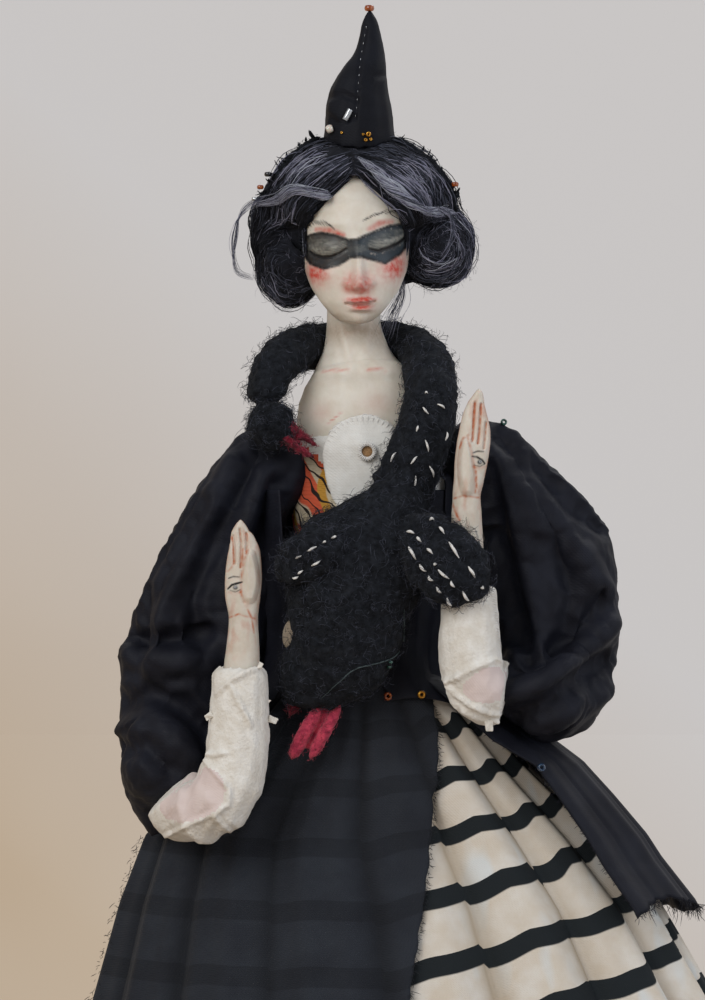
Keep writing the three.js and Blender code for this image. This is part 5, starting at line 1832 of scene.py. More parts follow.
        panel = self.sheet(
            "sheer_panel", SHEER_VOILE, 299.5, panel_hem, (panel_front, lambda z: flat(z, -262.5)),
            lambda d, z: 1.3 + 0.01 * (299.5 - z), (220, 84), 0.35, 0.4,
        )
        self.declare(panel, self.panel_cut, "gathered", "striped_underskirt")
        settle(panel, Place.DOLL, "sheer_black", "over_skirt")
        z = np.repeat(np.linspace(119, 296, 260), 2)
        edge = self.at(panel_front(z), z, 1.3 + 0.01 * (299.5 - z), 0.4)
        degrees = np.random.default_rng(8).uniform(-186, -168, 300)
        side = self.at(degrees, np.linspace(119, 250, 300), 3.4, 0.4)
        self.frayed(
            "panel_threads",
            self.threads(edge, 1.6, 81, (0.8, -0.1, -0.5)) + self.threads(side, 2.0, 82, (-0.6, -0.1, -0.7)),
            SHEER_VOILE, "sheer_black",
        )

        def tail_front(z: np.ndarray) -> np.ndarray:
            return np.interp(z, [230, 273, 280, 299.5], [-39.5, -40.0, -47.0, -47.0])

        def tail_lift(degrees: np.ndarray, z: np.ndarray) -> np.ndarray:
            return np.interp(z, *np.array(self.tail_stand).T)

        def tail_hem(a: np.ndarray) -> np.ndarray:
            shares, heights = np.array(self.tail_bow).T
            return np.interp(a, shares, heights) + 0.35 * np.sin(a * 140)

        tail = self.sheet(
            "coat_tail_cloth", BLACK_SATEEN, 299.0, tail_hem, (tail_front, lambda z: flat(z, 90.0)),
            tail_lift, (150, 60), 0.6, 0.55,
        )
        self.declare(tail, self.tail_cut, "hung", "striped_underskirt")
        settle(tail, Place.DOLL, "black_sateen", "coat_tail")
        across = np.linspace(0, 0.5, 240)
        hem = tail_hem(across)
        degrees = tail_front(hem) + (90 - tail_front(hem)) * across
        z = np.linspace(231, 285, 120)
        self.frayed(
            "tail_threads",
            self.threads(self.at(degrees, hem, tail_lift(degrees, hem), 0.55), 3.2, 83, (0.1, -0.2, -0.8))
            + self.threads(self.at(tail_front(z), z, tail_lift(z, z), 0.55), 1.4, 84, (-0.7, -0.2, -0.5)),
            BLACK_SATEEN, "black_sateen",
        )


@dataclass
class Chest:
    """The printed bodice with the white linen patch, its blanket stitches and its eyelet."""

    patch_middle: Pair = (2.0, 364.0)
    patch_radius: float = 12.4
    eyelet: Pair = (3.0, 365.3)
    stitch_turn: float = 8.0
    # The slanting edge between the print and the white cloth: height, and across.
    print_edge: Line = (
        (340.0, -1.0), (343.0, -2.0), (352.4, -5.0), (360.0, -9.0), (369.0, -20.0), (376.0, -30.0),
    )

    def build(self) -> None:
        """Makes the bodice, the patch and the sewing on it."""
        bodice = remeshed("print_bodice", "bodice", PRINTED_COTTON, 0.8, 3)
        art = Sculpture(bodice)
        x, y, z = art.points.T
        rise = np.clip(-y / 8, 0, 1) * np.clip((-4 - x) / 4, 0, 1) * np.clip(z - 350, 0, None)
        z += 1.6 * rise
        y += 0.15 * rise
        art.write()
        art.push(0.25 * art.grain(6, 2, (1, 1, 2)))
        bodice.data.materials.append(WHITE_LINEN.material())
        white = x > np.interp(z, *np.array(self.print_edge).T)
        for face in bodice.data.polygons:
            if all(white[i] for i in face.vertices):
                face.material_index = 1
        settle(bodice, Place.DOLL, "printed_cotton", "bodice")
        patch = remeshed("linen_patch", "chest_patch", WHITE_LINEN, 0.4, 2)
        art = Sculpture(patch)
        below = np.clip(self.patch_middle[1] - art.points[:, 2], 0, None)
        art.points[:, 2] -= 0.75 * below
        art.points[:, 0] += 0.1 * below
        art.write()
        art.push(0.12 * art.grain(2.5, 3) + 0.3 * art.grain(7.0, 2.0))
        settle(patch, Place.DOLL, "white_linen", "chest_patch")
        skin = Skin(patch)
        x, z = self.patch_middle
        stitches = []
        for degrees in np.arange(12, 158, self.stitch_turn):
            angle = math.radians(degrees)
            reach = self.patch_radius - 0.9
            stitches.append(Stitch(x + reach * math.cos(angle), z + reach * math.sin(angle), degrees, 2.2))
            angle += math.radians(self.stitch_turn / 2)
            reach = self.patch_radius - 0.15
            across, up = reach * math.cos(angle), reach * math.sin(angle)
            stitches.append(Stitch(x + across, z + up, degrees + 94, 1.9))
        settle(sewn("patch_stitches", skin, stitches, 0.2, WHITE_THREAD), Place.DOLL, "white_linen")
        x, z = self.eyelet
        centre = middle("patch_eyelet")
        bm = bmesh.new()
        for i in range(26):
            angle = math.tau * i / 26
            place = centre + Vector((math.cos(angle), 0, math.sin(angle))) * 2.25 * MM
            loop = bmesh.ops.create_circle(bm, segments=6, radius=0.22 * MM)["verts"]
            stand = Matrix.Translation(place) @ Matrix.Rotation(-angle, 4, "Y")
            edges = list({edge for vert in loop for edge in vert.link_edges})
            bmesh.ops.rotate(bm, verts=loop, cent=(0, 0, 0), matrix=Matrix.Rotation(math.pi / 2, 3, "X"))
            bmesh.ops.translate(bm, verts=loop, vec=(0.55 * MM, 0, 0))
            bmesh.ops.spin(
                bm, geom=loop + edges, cent=(0, 0, 0), axis=(0, 0, 1), steps=9, angle=math.tau,
                use_merge=True, use_duplicate=False,
            )
            bmesh.ops.transform(bm, matrix=stand, verts=connected(loop[0]))
        bmesh.ops.recalc_face_normals(bm, faces=bm.faces)
        settle(from_bmesh("buttonhole_eyelet", bm, [WHITE_THREAD]), Place.DOLL, "white_linen", "patch_eyelet")
        bm = bmesh.new()
        ring = bmesh.ops.create_circle(bm, cap_ends=True, segments=16, radius=2.2 * MM)["verts"]
        turn = Matrix.Translation(centre + Vector((0, 0.3 * MM, 0))) @ Matrix.Rotation(math.pi / 2, 4, "X")
        bmesh.ops.transform(bm, matrix=turn, verts=ring)
        poked = bmesh.ops.poke(bm, faces=bm.faces[:])["verts"]
        bmesh.ops.translate(bm, verts=poked, vec=(0, 0.5 * MM, 0))
        bmesh.ops.solidify(bm, geom=bm.faces[:], thickness=0.2 * MM)
        settle(from_bmesh("eyelet_lining", bm, [TAN_COTTON]), Place.DOLL, "body_cloth")


@dataclass
class Coat:
    """The black sateen coat: its body, and two wide sleeves gathered at the shoulder and the elbow."""

    voxel: float = 1.8
    cap_radius: float = 15.0
    slack: float = 0.07
    hold: float = 0.3
    shoulders: dict[Side, Triple] = field(
        default_factory=lambda: {Side.LEFT: (-28.0, 0.0, 359.0), Side.RIGHT: (38.0, 0.0, 361.0)}
    )
    # The coat's fronts: height, middle across and of depth, half width and half depth.
    front_levels: Rows = (
        (354.0, 3.5, 0.0, 26.0, 17.5), (335.0, 3.5, 0.0, 24.5, 17.0), (318.0, 3.0, 0.0, 22.5, 16.6),
        (305.0, 3.0, 0.0, 21.8, 17.6), (299.0, 3.0, 0.0, 23.0, 20.0), (291.0, 4.0, 1.3, 31.0, 23.6),
    )
    # Each front's first and last degrees, and how far it stands out over the levels.
    fronts: dict[Side, Triple] = field(
        default_factory=lambda: {Side.LEFT: (-214.0, -137.0, 10.0), Side.RIGHT: (-80.0, 10.0, 0.0)}
    )
    # Each front's straight cut, edge to edge and down, in metres.
    front_cuts: dict[Side, Pair] = field(
        default_factory=lambda: {Side.LEFT: (0.045, 0.065), Side.RIGHT: (0.040, 0.065)}
    )
    # Balls that fill the hollow between the shoulder and the puff, and the one above the elbow:
    # middle and radius.
    fillers: dict[Side, Rows] = field(
        default_factory=lambda: {
            Side.LEFT: (
                (-34.0, -3.0, 352.0, 15.0), (-39.0, -4.0, 345.0, 16.0), (-57.0, -17.0, 273.0, 14.0),
            ),
            Side.RIGHT: (
                (44.0, -1.0, 358.0, 15.0), (49.0, -3.0, 351.0, 16.0), (54.0, -4.0, 344.0, 17.0),
                (54.0, -17.0, 296.0, 14.5),
            ),
        }
    )
    # The shoulder's slope as the front view shows it: how far out, and the height there.
    slopes: dict[Side, Line] = field(
        default_factory=lambda: {
            Side.LEFT: (
                (20.0, 378.0), (32.0, 372.5), (36.0, 369.5), (43.0, 361.0), (50.0, 350.0),
                (58.0, 336.0), (66.0, 318.0),
            ),
            Side.RIGHT: (
                (30.0, 376.0), (43.0, 373.6), (47.4, 371.0), (53.4, 365.0), (68.4, 350.0),
                (77.4, 339.5), (84.0, 322.0),
            ),
        }
    )
    # Depth, half width, line: the drapes from the shoulder, then the creases above the elbow.
    left_folds: tuple[tuple[float, float, Line], ...] = (
        (-3.4, 0.8, ((-27.0, 368.0), (-35.0, 352.0), (-43.0, 338.0), (-49.0, 322.0), (-46.0, 306.0))),
        (3.0, 1.6, ((-37.0, 362.0), (-47.0, 344.0), (-57.0, 326.0), (-60.0, 306.0))),
        (-3.0, 0.8, ((-46.0, 350.0), (-56.0, 334.0), (-64.0, 318.0), (-66.0, 300.0))),
        (2.4, 1.3, ((-28.0, 358.0), (-33.0, 340.0), (-37.0, 322.0), (-38.0, 304.0))),
        (-2.6, 0.8, ((-24.0, 356.0), (-28.0, 338.0), (-30.0, 320.0), (-35.0, 302.0), (-40.0, 286.0))),
        (-4.2, 0.8, ((-73.0, 313.0), (-64.0, 309.0), (-54.0, 310.0), (-45.0, 312.0))),
        (3.2, 1.6, ((-72.0, 306.0), (-62.0, 302.0), (-52.0, 303.0), (-44.0, 303.0))),
        (-3.8, 0.8, ((-71.0, 290.0), (-62.0, 294.0), (-52.0, 290.0), (-43.0, 282.0))),
        (3.0, 1.4, ((-70.0, 282.0), (-60.0, 286.0), (-52.0, 280.0), (-46.0, 272.0))),
        (-3.4, 0.8, ((-71.0, 276.0), (-63.0, 279.0), (-55.0, 271.0))),
    )
    right_folds: tuple[tuple[float, float, Line], ...] = (
        (-3.4, 0.8, ((43.0, 370.0), (52.0, 354.0), (60.0, 338.0), (64.0, 322.0), (60.0, 308.0))),
        (3.0, 1.6, ((46.0, 362.0), (56.0, 344.0), (67.0, 334.0), (74.0, 322.0))),
        (2.4, 1.4, ((41.0, 364.0), (46.0, 346.0), (51.0, 328.0), (53.0, 312.0))),
        (-3.0, 0.8, ((38.0, 360.0), (41.0, 342.0), (45.0, 324.0), (50.0, 306.0))),
        (-2.8, 0.8, ((54.0, 362.0), (64.0, 350.0), (74.0, 342.0))),
        (-4.2, 0.8, ((46.0, 301.0), (56.0, 304.0), (66.0, 312.0), (74.0, 322.0))),
        (3.4, 1.6, ((46.0, 294.0), (56.0, 297.0), (66.0, 305.0), (76.0, 314.0))),
        (-3.8, 0.8, ((47.0, 287.0), (56.0, 290.0), (66.0, 298.0), (77.0, 304.0))),
        (3.0, 1.4, ((50.0, 281.0), (58.0, 283.0), (67.0, 290.0), (75.0, 294.0))),
    )

    def sleeve(self, side: Side, place: Place) -> None:
        """Makes one sleeve, with its slack cloth buckled and its main folds pressed in."""
        word = side.word()
        bm = bmesh.new()
        bm.from_mesh(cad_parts[f"sleeve_{word}"].data)
        bmesh.ops.remove_doubles(bm, verts=bm.verts, dist=1e-6)
        shoulder = self.shoulders[side]
        bmesh.ops.create_icosphere(
            bm, subdivisions=3, radius=self.cap_radius * MM, matrix=Matrix.Translation(Vector(shoulder) * MM)
        )
        for x, y, z, radius in self.fillers[side]:
            bmesh.ops.create_icosphere(
                bm, subdivisions=2, radius=radius * MM, matrix=Matrix.Translation(Vector((x, y, z)) * MM)
            )
        sleeve = evened(f"sateen_sleeve_{word}", bm, BLACK_SATEEN, self.voxel, 12)
        art = Sculpture(sleeve)
        x, _, z = art.points.T
        over = np.clip(z - np.interp(x * side.value, *np.array(self.slopes[side]).T), 0, None)
        art.points[:, 2] -= 0.85 * over
        art.write()
        crumpled(sleeve, self.slack, self.hold, 6.0)
        art = Sculpture(sleeve)
        folds = self.left_folds if side is Side.LEFT else self.right_folds
        for depth, width, line in folds:
            art.push(depth * art.stroke(line, width, 3.6))
        fine = 0.15 * art.grain(3.5, side.value, (1.2, 1, 1.8))
        art.push(0.7 * art.grain(13, side.value, (1, 1, 2.4)) + fine)
        refined(sleeve)
        settle(sleeve, place, "black_sateen", f"sleeve_{word}")

    def front(self, side: Side) -> None:
        """Hangs one of the coat's fronts over the waist, down over the skirts' gathered tops."""
        first, last, out = self.fronts[side]
        bm = bmesh.new()
        bmesh.ops.create_grid(bm, x_segments=44, y_segments=40, size=0.5)
        rows = np.array(self.front_levels)[::-1]
        for vert in bm.verts:
            across, up = vert.co.x + 0.5, vert.co.y + 0.5
            z = rows[0, 0] + (rows[-1, 0] - rows[0, 0]) * up + 1.2 * math.sin(9 * across) * (1 - up)
            x, y, wide, deep = (np.interp(z, rows[:, 0], rows[:, i]) for i in (1, 2, 3, 4))
            angle = math.radians(first + (last - first) * across)
            fold = out + 0.8 * math.sin(7 * angle + 0.05 * z) + 0.35 * math.sin(17 * angle - 0.1 * z)
            spread = Vector(((wide + fold) * math.cos(angle), (deep + fold) * math.sin(angle), 0.0))
            vert.co = (Vector((x, y, z)) + spread) * MM
        bmesh.ops.recalc_face_normals(bm, faces=bm.faces)
        panel = from_bmesh(f"coat_front_{side.word()}", bm, [BLACK_SATEEN])
        wall = panel.modifiers.new("cloth", "SOLIDIFY")
        wall.thickness = 0.6 * MM
        settle(refined(panel), Place.DOLL, "black_sateen")

    def build(self) -> None:
        """Makes the coat's body and both sleeves."""
        body = remeshed("sateen_coat_body", "coat_body", BLACK_SATEEN, 0.9, 4)
        art = Sculpture(body)
        for depth, line in (
            (-0.9, ((-24.0, 366.0), (-27.0, 350.0), (-27.0, 334.0), (-26.0, 312.0))),
            (0.8, ((-22.5, 364.0), (-24.0, 348.0), (-24.0, 330.0), (-22.0, 308.0))),
            (-0.9, ((30.0, 366.0), (32.0, 350.0), (31.0, 334.0), (29.0, 312.0))),
        ):
            art.push(depth * art.stroke(line, 0.6, 1.8))
        art.push(0.5 * art.grain(7, 4, (1, 1, 3)))
        settle(body, Place.DOLL, "black_sateen", "coat_body")
        for side in Side:
            self.front(side)
        self.sleeve(Side.LEFT, Place.ARM_LEFT)
        self.sleeve(Side.RIGHT, Place.ARM_RIGHT)


@dataclass(frozen=True)
class HandShape:
    """One raised clay hand, in millimetres, with its painted palm towards the front."""

    side: Side
    place: Place
    depth_y: float
    outline: Rows
    grooves: tuple[Line, ...]
    thumb: Line
    thumb_edge: Line
    eye: Pair
    creases: tuple[Line, ...]
    wrist_z: float


LEFT_HAND = HandShape(
    side=Side.LEFT,
    place=Place.PALM_LEFT,
    depth_y=-35.0,
    outline=(
        # middle across, height, half width, half depth
        (-34.2, 345.2, 0.1, 0.1), (-34.15, 344.3, 1.0, 0.9), (-34.15, 341.7, 2.6, 1.5),
        (-33.5, 338.5, 3.9, 2.0),
        (-33.1, 335.0, 4.8, 2.4), (-33.3, 328.0, 5.4, 3.0), (-33.5, 323.0, 5.2, 3.2),
        (-33.3, 316.0, 4.3, 3.9),
        (-33.5, 307.0, 4.9, 4.6), (-33.8, 302.0, 5.2, 5.1), (-34.2, 290.0, 4.3, 4.3),
        (-34.2, 289.4, 0.1, 0.1),
    ),
    grooves=(
        ((-34.4, 342.3), (-34.0, 338.5), (-34.1, 331.2)),
        ((-36.6, 340.3), (-36.1, 336.5), (-36.0, 332.4)),
        ((-32.3, 341.2), (-32.2, 338.0), (-32.5, 335.3)),
    ),
    thumb=((-31.5, 334.6), (-31.2, 330.5), (-31.0, 326.5), (-31.4, 322.5)),
    thumb_edge=((-31.9, 336.4), (-33.1, 333.0), (-33.8, 328.6), (-34.0, 323.8), (-33.0, 321.0)),
    eye=(-35.6, 325.3),
    creases=(
        ((-37.9, 330.0), (-36.8, 331.0), (-35.9, 332.8)), ((-34.1, 331.2), (-33.7, 333.4), (-33.4, 336.6)),
        ((-36.1, 333.0), (-36.3, 337.0), (-36.7, 340.0)), ((-37.6, 316.4), (-34.6, 317.6), (-30.0, 316.2)),
        ((-32.0, 318.8), (-30.8, 316.4), (-30.2, 312.0)),
    ),
    wrist_z=316.0,
)
RIGHT_HAND = HandShape(
    side=Side.RIGHT,
    place=Place.PALM_RIGHT,
    depth_y=-33.0,
    outline=(
        (35.7, 383.6, 0.1, 0.1), (35.7, 382.6, 1.0, 0.9), (35.4, 380.6, 1.9, 1.3), (34.9, 378.6, 2.7, 1.6),
        (34.6, 375.4, 3.7, 2.0), (34.5, 371.0, 4.6, 2.5), (34.1, 367.0, 4.9, 2.8), (33.4, 361.9, 4.8, 3.1),
        (32.8, 356.9, 4.4, 3.4), (32.1, 351.9, 4.1, 3.8), (32.1, 346.9, 4.4, 4.2), (32.4, 336.0, 4.7, 4.7),
        (32.5, 325.0, 5.1, 5.1), (31.9, 313.0, 4.3, 4.3), (31.8, 312.4, 0.1, 0.1),
    ),
    grooves=(
        ((34.5, 379.4), (34.1, 374.0), (33.8, 368.2)), ((36.4, 379.0), (36.0, 373.0), (35.4, 367.4)),
        ((37.9, 373.6), (37.6, 369.5), (37.2, 366.0)),
    ),
    thumb=((32.2, 367.4), (32.0, 363.0), (32.0, 358.0), (32.2, 353.8)),
    thumb_edge=((32.4, 369.4), (33.6, 364.6), (34.6, 359.0), (34.9, 354.4)),
    eye=(35.9, 362.0),
    creases=(
        ((30.0, 366.0), (31.0, 369.0), (32.6, 370.0)), ((34.8, 359.4), (35.0, 356.0), (34.6, 353.0)),
        ((28.5, 351.4), (31.0, 352.2), (35.6, 351.6)), ((34.5, 379.0), (34.1, 374.0), (33.8, 368.2)),
        ((28.0, 350.0), (28.6, 347.5), (30.0, 345.0)), ((36.4, 379.0), (36.0, 373.0), (35.4, 367.4)),
    ),
    wrist_z=351.0,
)


@dataclass
class Hands:
    """The raised clay hands, with grooves between the fingers and an eye painted on each palm."""

    around: int = 110
    rows: int = 260

    def hand(self, shape: HandShape) -> None:
        """Makes and paints one hand with its forearm."""
        word = shape.side.word()
        stations = [(x, shape.depth_y, z, wide, deep) for x, z, wide, deep in shape.outline]
        hand = stuffed(f"clay_hand_{word}", stations, self.around, self.rows, IVORY_CLAY)
        art = Sculpture(hand)
        art.push(1.4 * art.stroke(shape.thumb, 0.9, 1.8))
        art.push(-0.3 * art.stroke(shape.thumb_edge, 0.1, 0.6))
        for groove in shape.grooves:
            art.push(-0.7 * art.stroke(groove, 0.12, 0.55))
        x, z = shape.eye
        inner = shape.side.value
        lid = ((x - 2.2, z - 0.4), (x - 1.0, z + 0.8), (x + 0.8, z + 1.3), (x + 1.9, z + 1.6))
        if shape.side is Side.RIGHT:
            lid = ((x - 2.2, z + 1.7), (x - 0.8, z + 1.5), (x + 0.7, z + 0.6), (x + 1.5, z - 0.4))
        brow = ((x - 2.0, z + 2.7), (x - 0.6, z + 3.2), (x + 1.2, z + 3.1))
        iris = art.patch(x, z, 0.9, 0.9)
        art.paint("slate", np.clip(1.6 * art.patch(x, z, 0.85, 0.85) - 0.5, 0, 1))
        art.paint(
            "ink",
            art.stroke(lid, 0.16, 0.3) + 0.7 * art.stroke(brow, 0.12, 0.25)
            + 0.6 * art.stroke(((x - 1.6, z - 0.8), (x, z - 1.3), (x + 1.4, z - 0.6)), 0.05, 0.25),
        )
        art.paint("lid", 0.35 * iris)
        lines = 0.8 * sum(art.stroke(crease, 0.06, 0.45) for crease in shape.creases)
        lines += 0.9 * sum(art.stroke(groove, 0.04, 0.35) for groove in shape.grooves)
        lines += 0.7 * art.stroke(shape.thumb_edge, 0.04, 0.5)
        lines += 0.45 * art.stroke(((x - 2.0, z - 1.4), (x, z - 1.9), (x + 1.8, z - 1.2)), 0.2, 0.5)
        height = art.points[:, 2]
        ends = np.interp(height - shape.wrist_z, [-14, -4, 2, 8], [0, 0.3, 0.3, 0])
        fingers = np.clip((height - z - 5) / 10, 0, 1) * 0.35
        blotch = np.clip(art.grain(2.2, 5.0 + inner, (0.7, 1, 1.6)) * 2.2, 0, 1)
        # Darker in sienna and brown where the hand turns sideways from the front, more so above the wrist.
        edge = np.clip(1.4 - np.abs(art.normals()[:, 1]) * 2.0, 0, 1)
        above_wrist = np.clip((height - shape.wrist_z) / 8, 0, 1) * (0.6 + 0.5 * art.grain(2.4, 8.0))
        drawn = lines * (0.7 + 0.8 * art.grain(1.2, 3.0))
        art.paint("sienna", 1.1 * drawn + 0.6 * edge * above_wrist + 1.1 * (ends + fingers) * blotch)
        art.paint("coral", 0.2 * ends * blotch)
        art.paint("umber", 0.16 + 0.35 * edge * above_wrist + 0.4 * ends)
        settle(hand, shape.place, "ivory_clay", f"hand_{word}")
        place, normal = Skin(hand).front(x + 0.1, z + 0.1)
        bm = bmesh.new()
        bead(bm, place + normal * 0.25 * MM, 0.42, normal, 0.6)
        bmesh.ops.recalc_face_normals(bm, faces=bm.faces)
        settle(refined(from_bmesh(f"pupil_bead_{word}", bm, [SILVER_GLASS])), shape.place, "pearl_bead")

    def build(self) -> None:
        """Makes both hands."""
        self.hand(LEFT_HAND)
        self.hand(RIGHT_HAND)


@dataclass
class Gauntlets:
    """The pieced white suede gauntlets: raw seams that stand up, torn tabs and a pinkish elbow."""

    voxel: float = 0.8
    # Where the sleeve's edge crosses each elbow, and the degrees that the sleeve lies towards.
    sleeve_edges: dict[Side, tuple[Pair, float]] = field(
        default_factory=lambda: {Side.LEFT: ((-63.6, 255.8), 135.0), Side.RIGHT: ((44.1, 303.2), -10.0)}
    )

    def gauntlet(
        self, side: Side, place: Place, seams: Sequence[Sequence[Pair]],
        elbow: Sequence[Pair], overcast: Sequence[Pair],
        tabs: Sequence[tuple[float, float, float, float]],
    ) -> None:
        """Makes one gauntlet.

        Args:
            side: Its side.
            place: The body that it moves with.
            seams: The lines of its raw seams.
            elbow: Patches of bare pinkish cotton: the middle's x and z, a half width and a half height.
            overcast: The line of small stitches over its outer seam.
            tabs: x, z, length and turn of its torn tabs.
        """
        word = side.word()
        glove = remeshed(f"suede_gauntlet_{word}", f"gauntlet_{word}", WHITE_LEATHER, self.voxel, 5)
        art = Sculpture(glove)
        (x, z), turn = self.sleeve_edges[side]
        out = np.array((math.cos(math.radians(turn)), 0.0, math.sin(math.radians(turn))))
        below = np.clip((z + 24 - art.points[:, 2]) / 6, 0, 1)
        past = np.clip((art.points - (x, 0.0, z)) @ out, 0, None) * below
        art.points -= 0.8 * past[:, None] * out
        art.write()
        for seam in seams:
            nick = 0.75 + 0.45 * art.grain(1.3, 2.0)
            art.push(1.5 * art.stroke(seam, 0.5, 0.5) * nick)
        art.push(0.35 * art.grain(4.5, 6.0) + 0.16 * art.grain(1.6, 7.0))
        bare = sum(art.patch(x, z, wide, tall, turn) for x, z, wide, tall, turn in elbow)
        glove.data.materials.append(PINK_COTTON.material())
        chosen = np.clip(bare * 1.8, 0, 1) > 0.75
        for face in glove.data.polygons:
            if all(chosen[i] for i in face.vertices):
                face.material_index = 1
        settle(refined(glove), place, "white_leather", f"gauntlet_{word}")
        skin = Skin(glove)
        stitches = []
        line = along_line([(x, 0.0, z) for x, z in overcast], int(len(overcast) * 5))
        ways = np.gradient(line, axis=0)
        for (x, _, z), way in zip(line, ways, strict=True):
            stitches.append(Stitch(x, z, math.degrees(math.atan2(way[2], way[0])) + 70, 1.9))
        settle(sewn(f"gauntlet_stitches_{word}", skin, stitches, 0.24, WHITE_THREAD), place, "white_leather")
        bm = bmesh.new()
        for x, z, long, turn in tabs:
            where, _ = skin.front(x, z)
            tab = bmesh.ops.create_grid(bm, x_segments=5, y_segments=4, size=0.5)["verts"]
            for vert in tab:
                u, v = vert.co.x + 0.5, vert.co.y
                curl = 0.25 * math.sin(u * 5 + v * 4) * 0.5
                vert.co = Vector((u, v * (0.9 - 0.35 * u), curl)) * long
            spin = Matrix.Rotation(-math.radians(turn), 4, "Y") @ Matrix.Rotation(math.pi / 2, 4, "X")
            proud = Matrix.Translation(where - Vector((0, 0.5 * MM, 0)))
            bmesh.ops.transform(bm, matrix=proud @ spin @ Matrix.Scale(MM, 4), verts=tab)
        bmesh.ops.solidify(bm, geom=bm.faces[:], thickness=0.5 * MM)
        settle(refined(from_bmesh(f"gauntlet_tabs_{word}", bm, [WHITE_LEATHER])), place, "white_leather")

    def build(self) -> None:
        """Makes both gauntlets."""
        self.gauntlet(
            Side.LEFT, Place.FOREARM_LEFT,
            (
                ((-26.4, 301.6), (-30.0, 301.4), (-33.5, 300.2), (-37.7, 297.5), (-41.2, 294.0)),
                ((-36.6, 296.6), (-34.0, 291.0), (-31.0, 285.0)),
                ((-45.2, 276.4), (-41.2, 276.6), (-37.6, 277.4)),
                ((-45.0, 275.2), (-40.9, 271.0), (-37.3, 266.9), (-37.4, 262.5), (-41.7, 259.7),
                 (-47.3, 257.3),
                 (-52.5, 254.1), (-56.8, 251.6)),
                ((-41.5, 259.0), (-38.5, 255.5), (-35.0, 252.0)),
            ),
            ((-50.0, 263.0, 9.5, 6.5, 25), (-45.0, 267.0, 6.0, 6.0, 30)),
            ((-26.8, 266.0), (-28.0, 261.0), (-30.5, 257.0), (-34.5, 253.4), (-39.0, 251.6),
             (-43.5, 249.8), (-49.0, 248.4)),
            ((-42.2, 288.5, 2.6, 215), (-26.0, 287.0, 2.8, -20), (-28.6, 301.6, 2.0, 70)),
        )
        self.gauntlet(
            Side.RIGHT, Place.FOREARM_RIGHT,
            (
                ((25.1, 298.3), (27.7, 298.3), (33.3, 301.6), (40.3, 304.4), (44.0, 302.0)),
                ((25.6, 298.0), (28.6, 294.6), (33.0, 291.0), (38.4, 288.6), (42.5, 287.8)),
                ((25.0, 296.0), (28.0, 292.4), (32.0, 288.4), (37.4, 286.6), (42.0, 286.0)),
            ),
            ((36.5, 296.2, 6.4, 4.6, 10), (40.0, 297.5, 4.5, 4.6, 0)),
            ((39.6, 323.6), (40.6, 318.0), (41.4, 313.0), (42.2, 308.5)),
            ((26.0, 292.0, 3.6, 235), (41.0, 325.6, 2.2, 100), (31.0, 287.0, 3.8, 262),
             (38.5, 286.5, 3.4, 275)),
        )


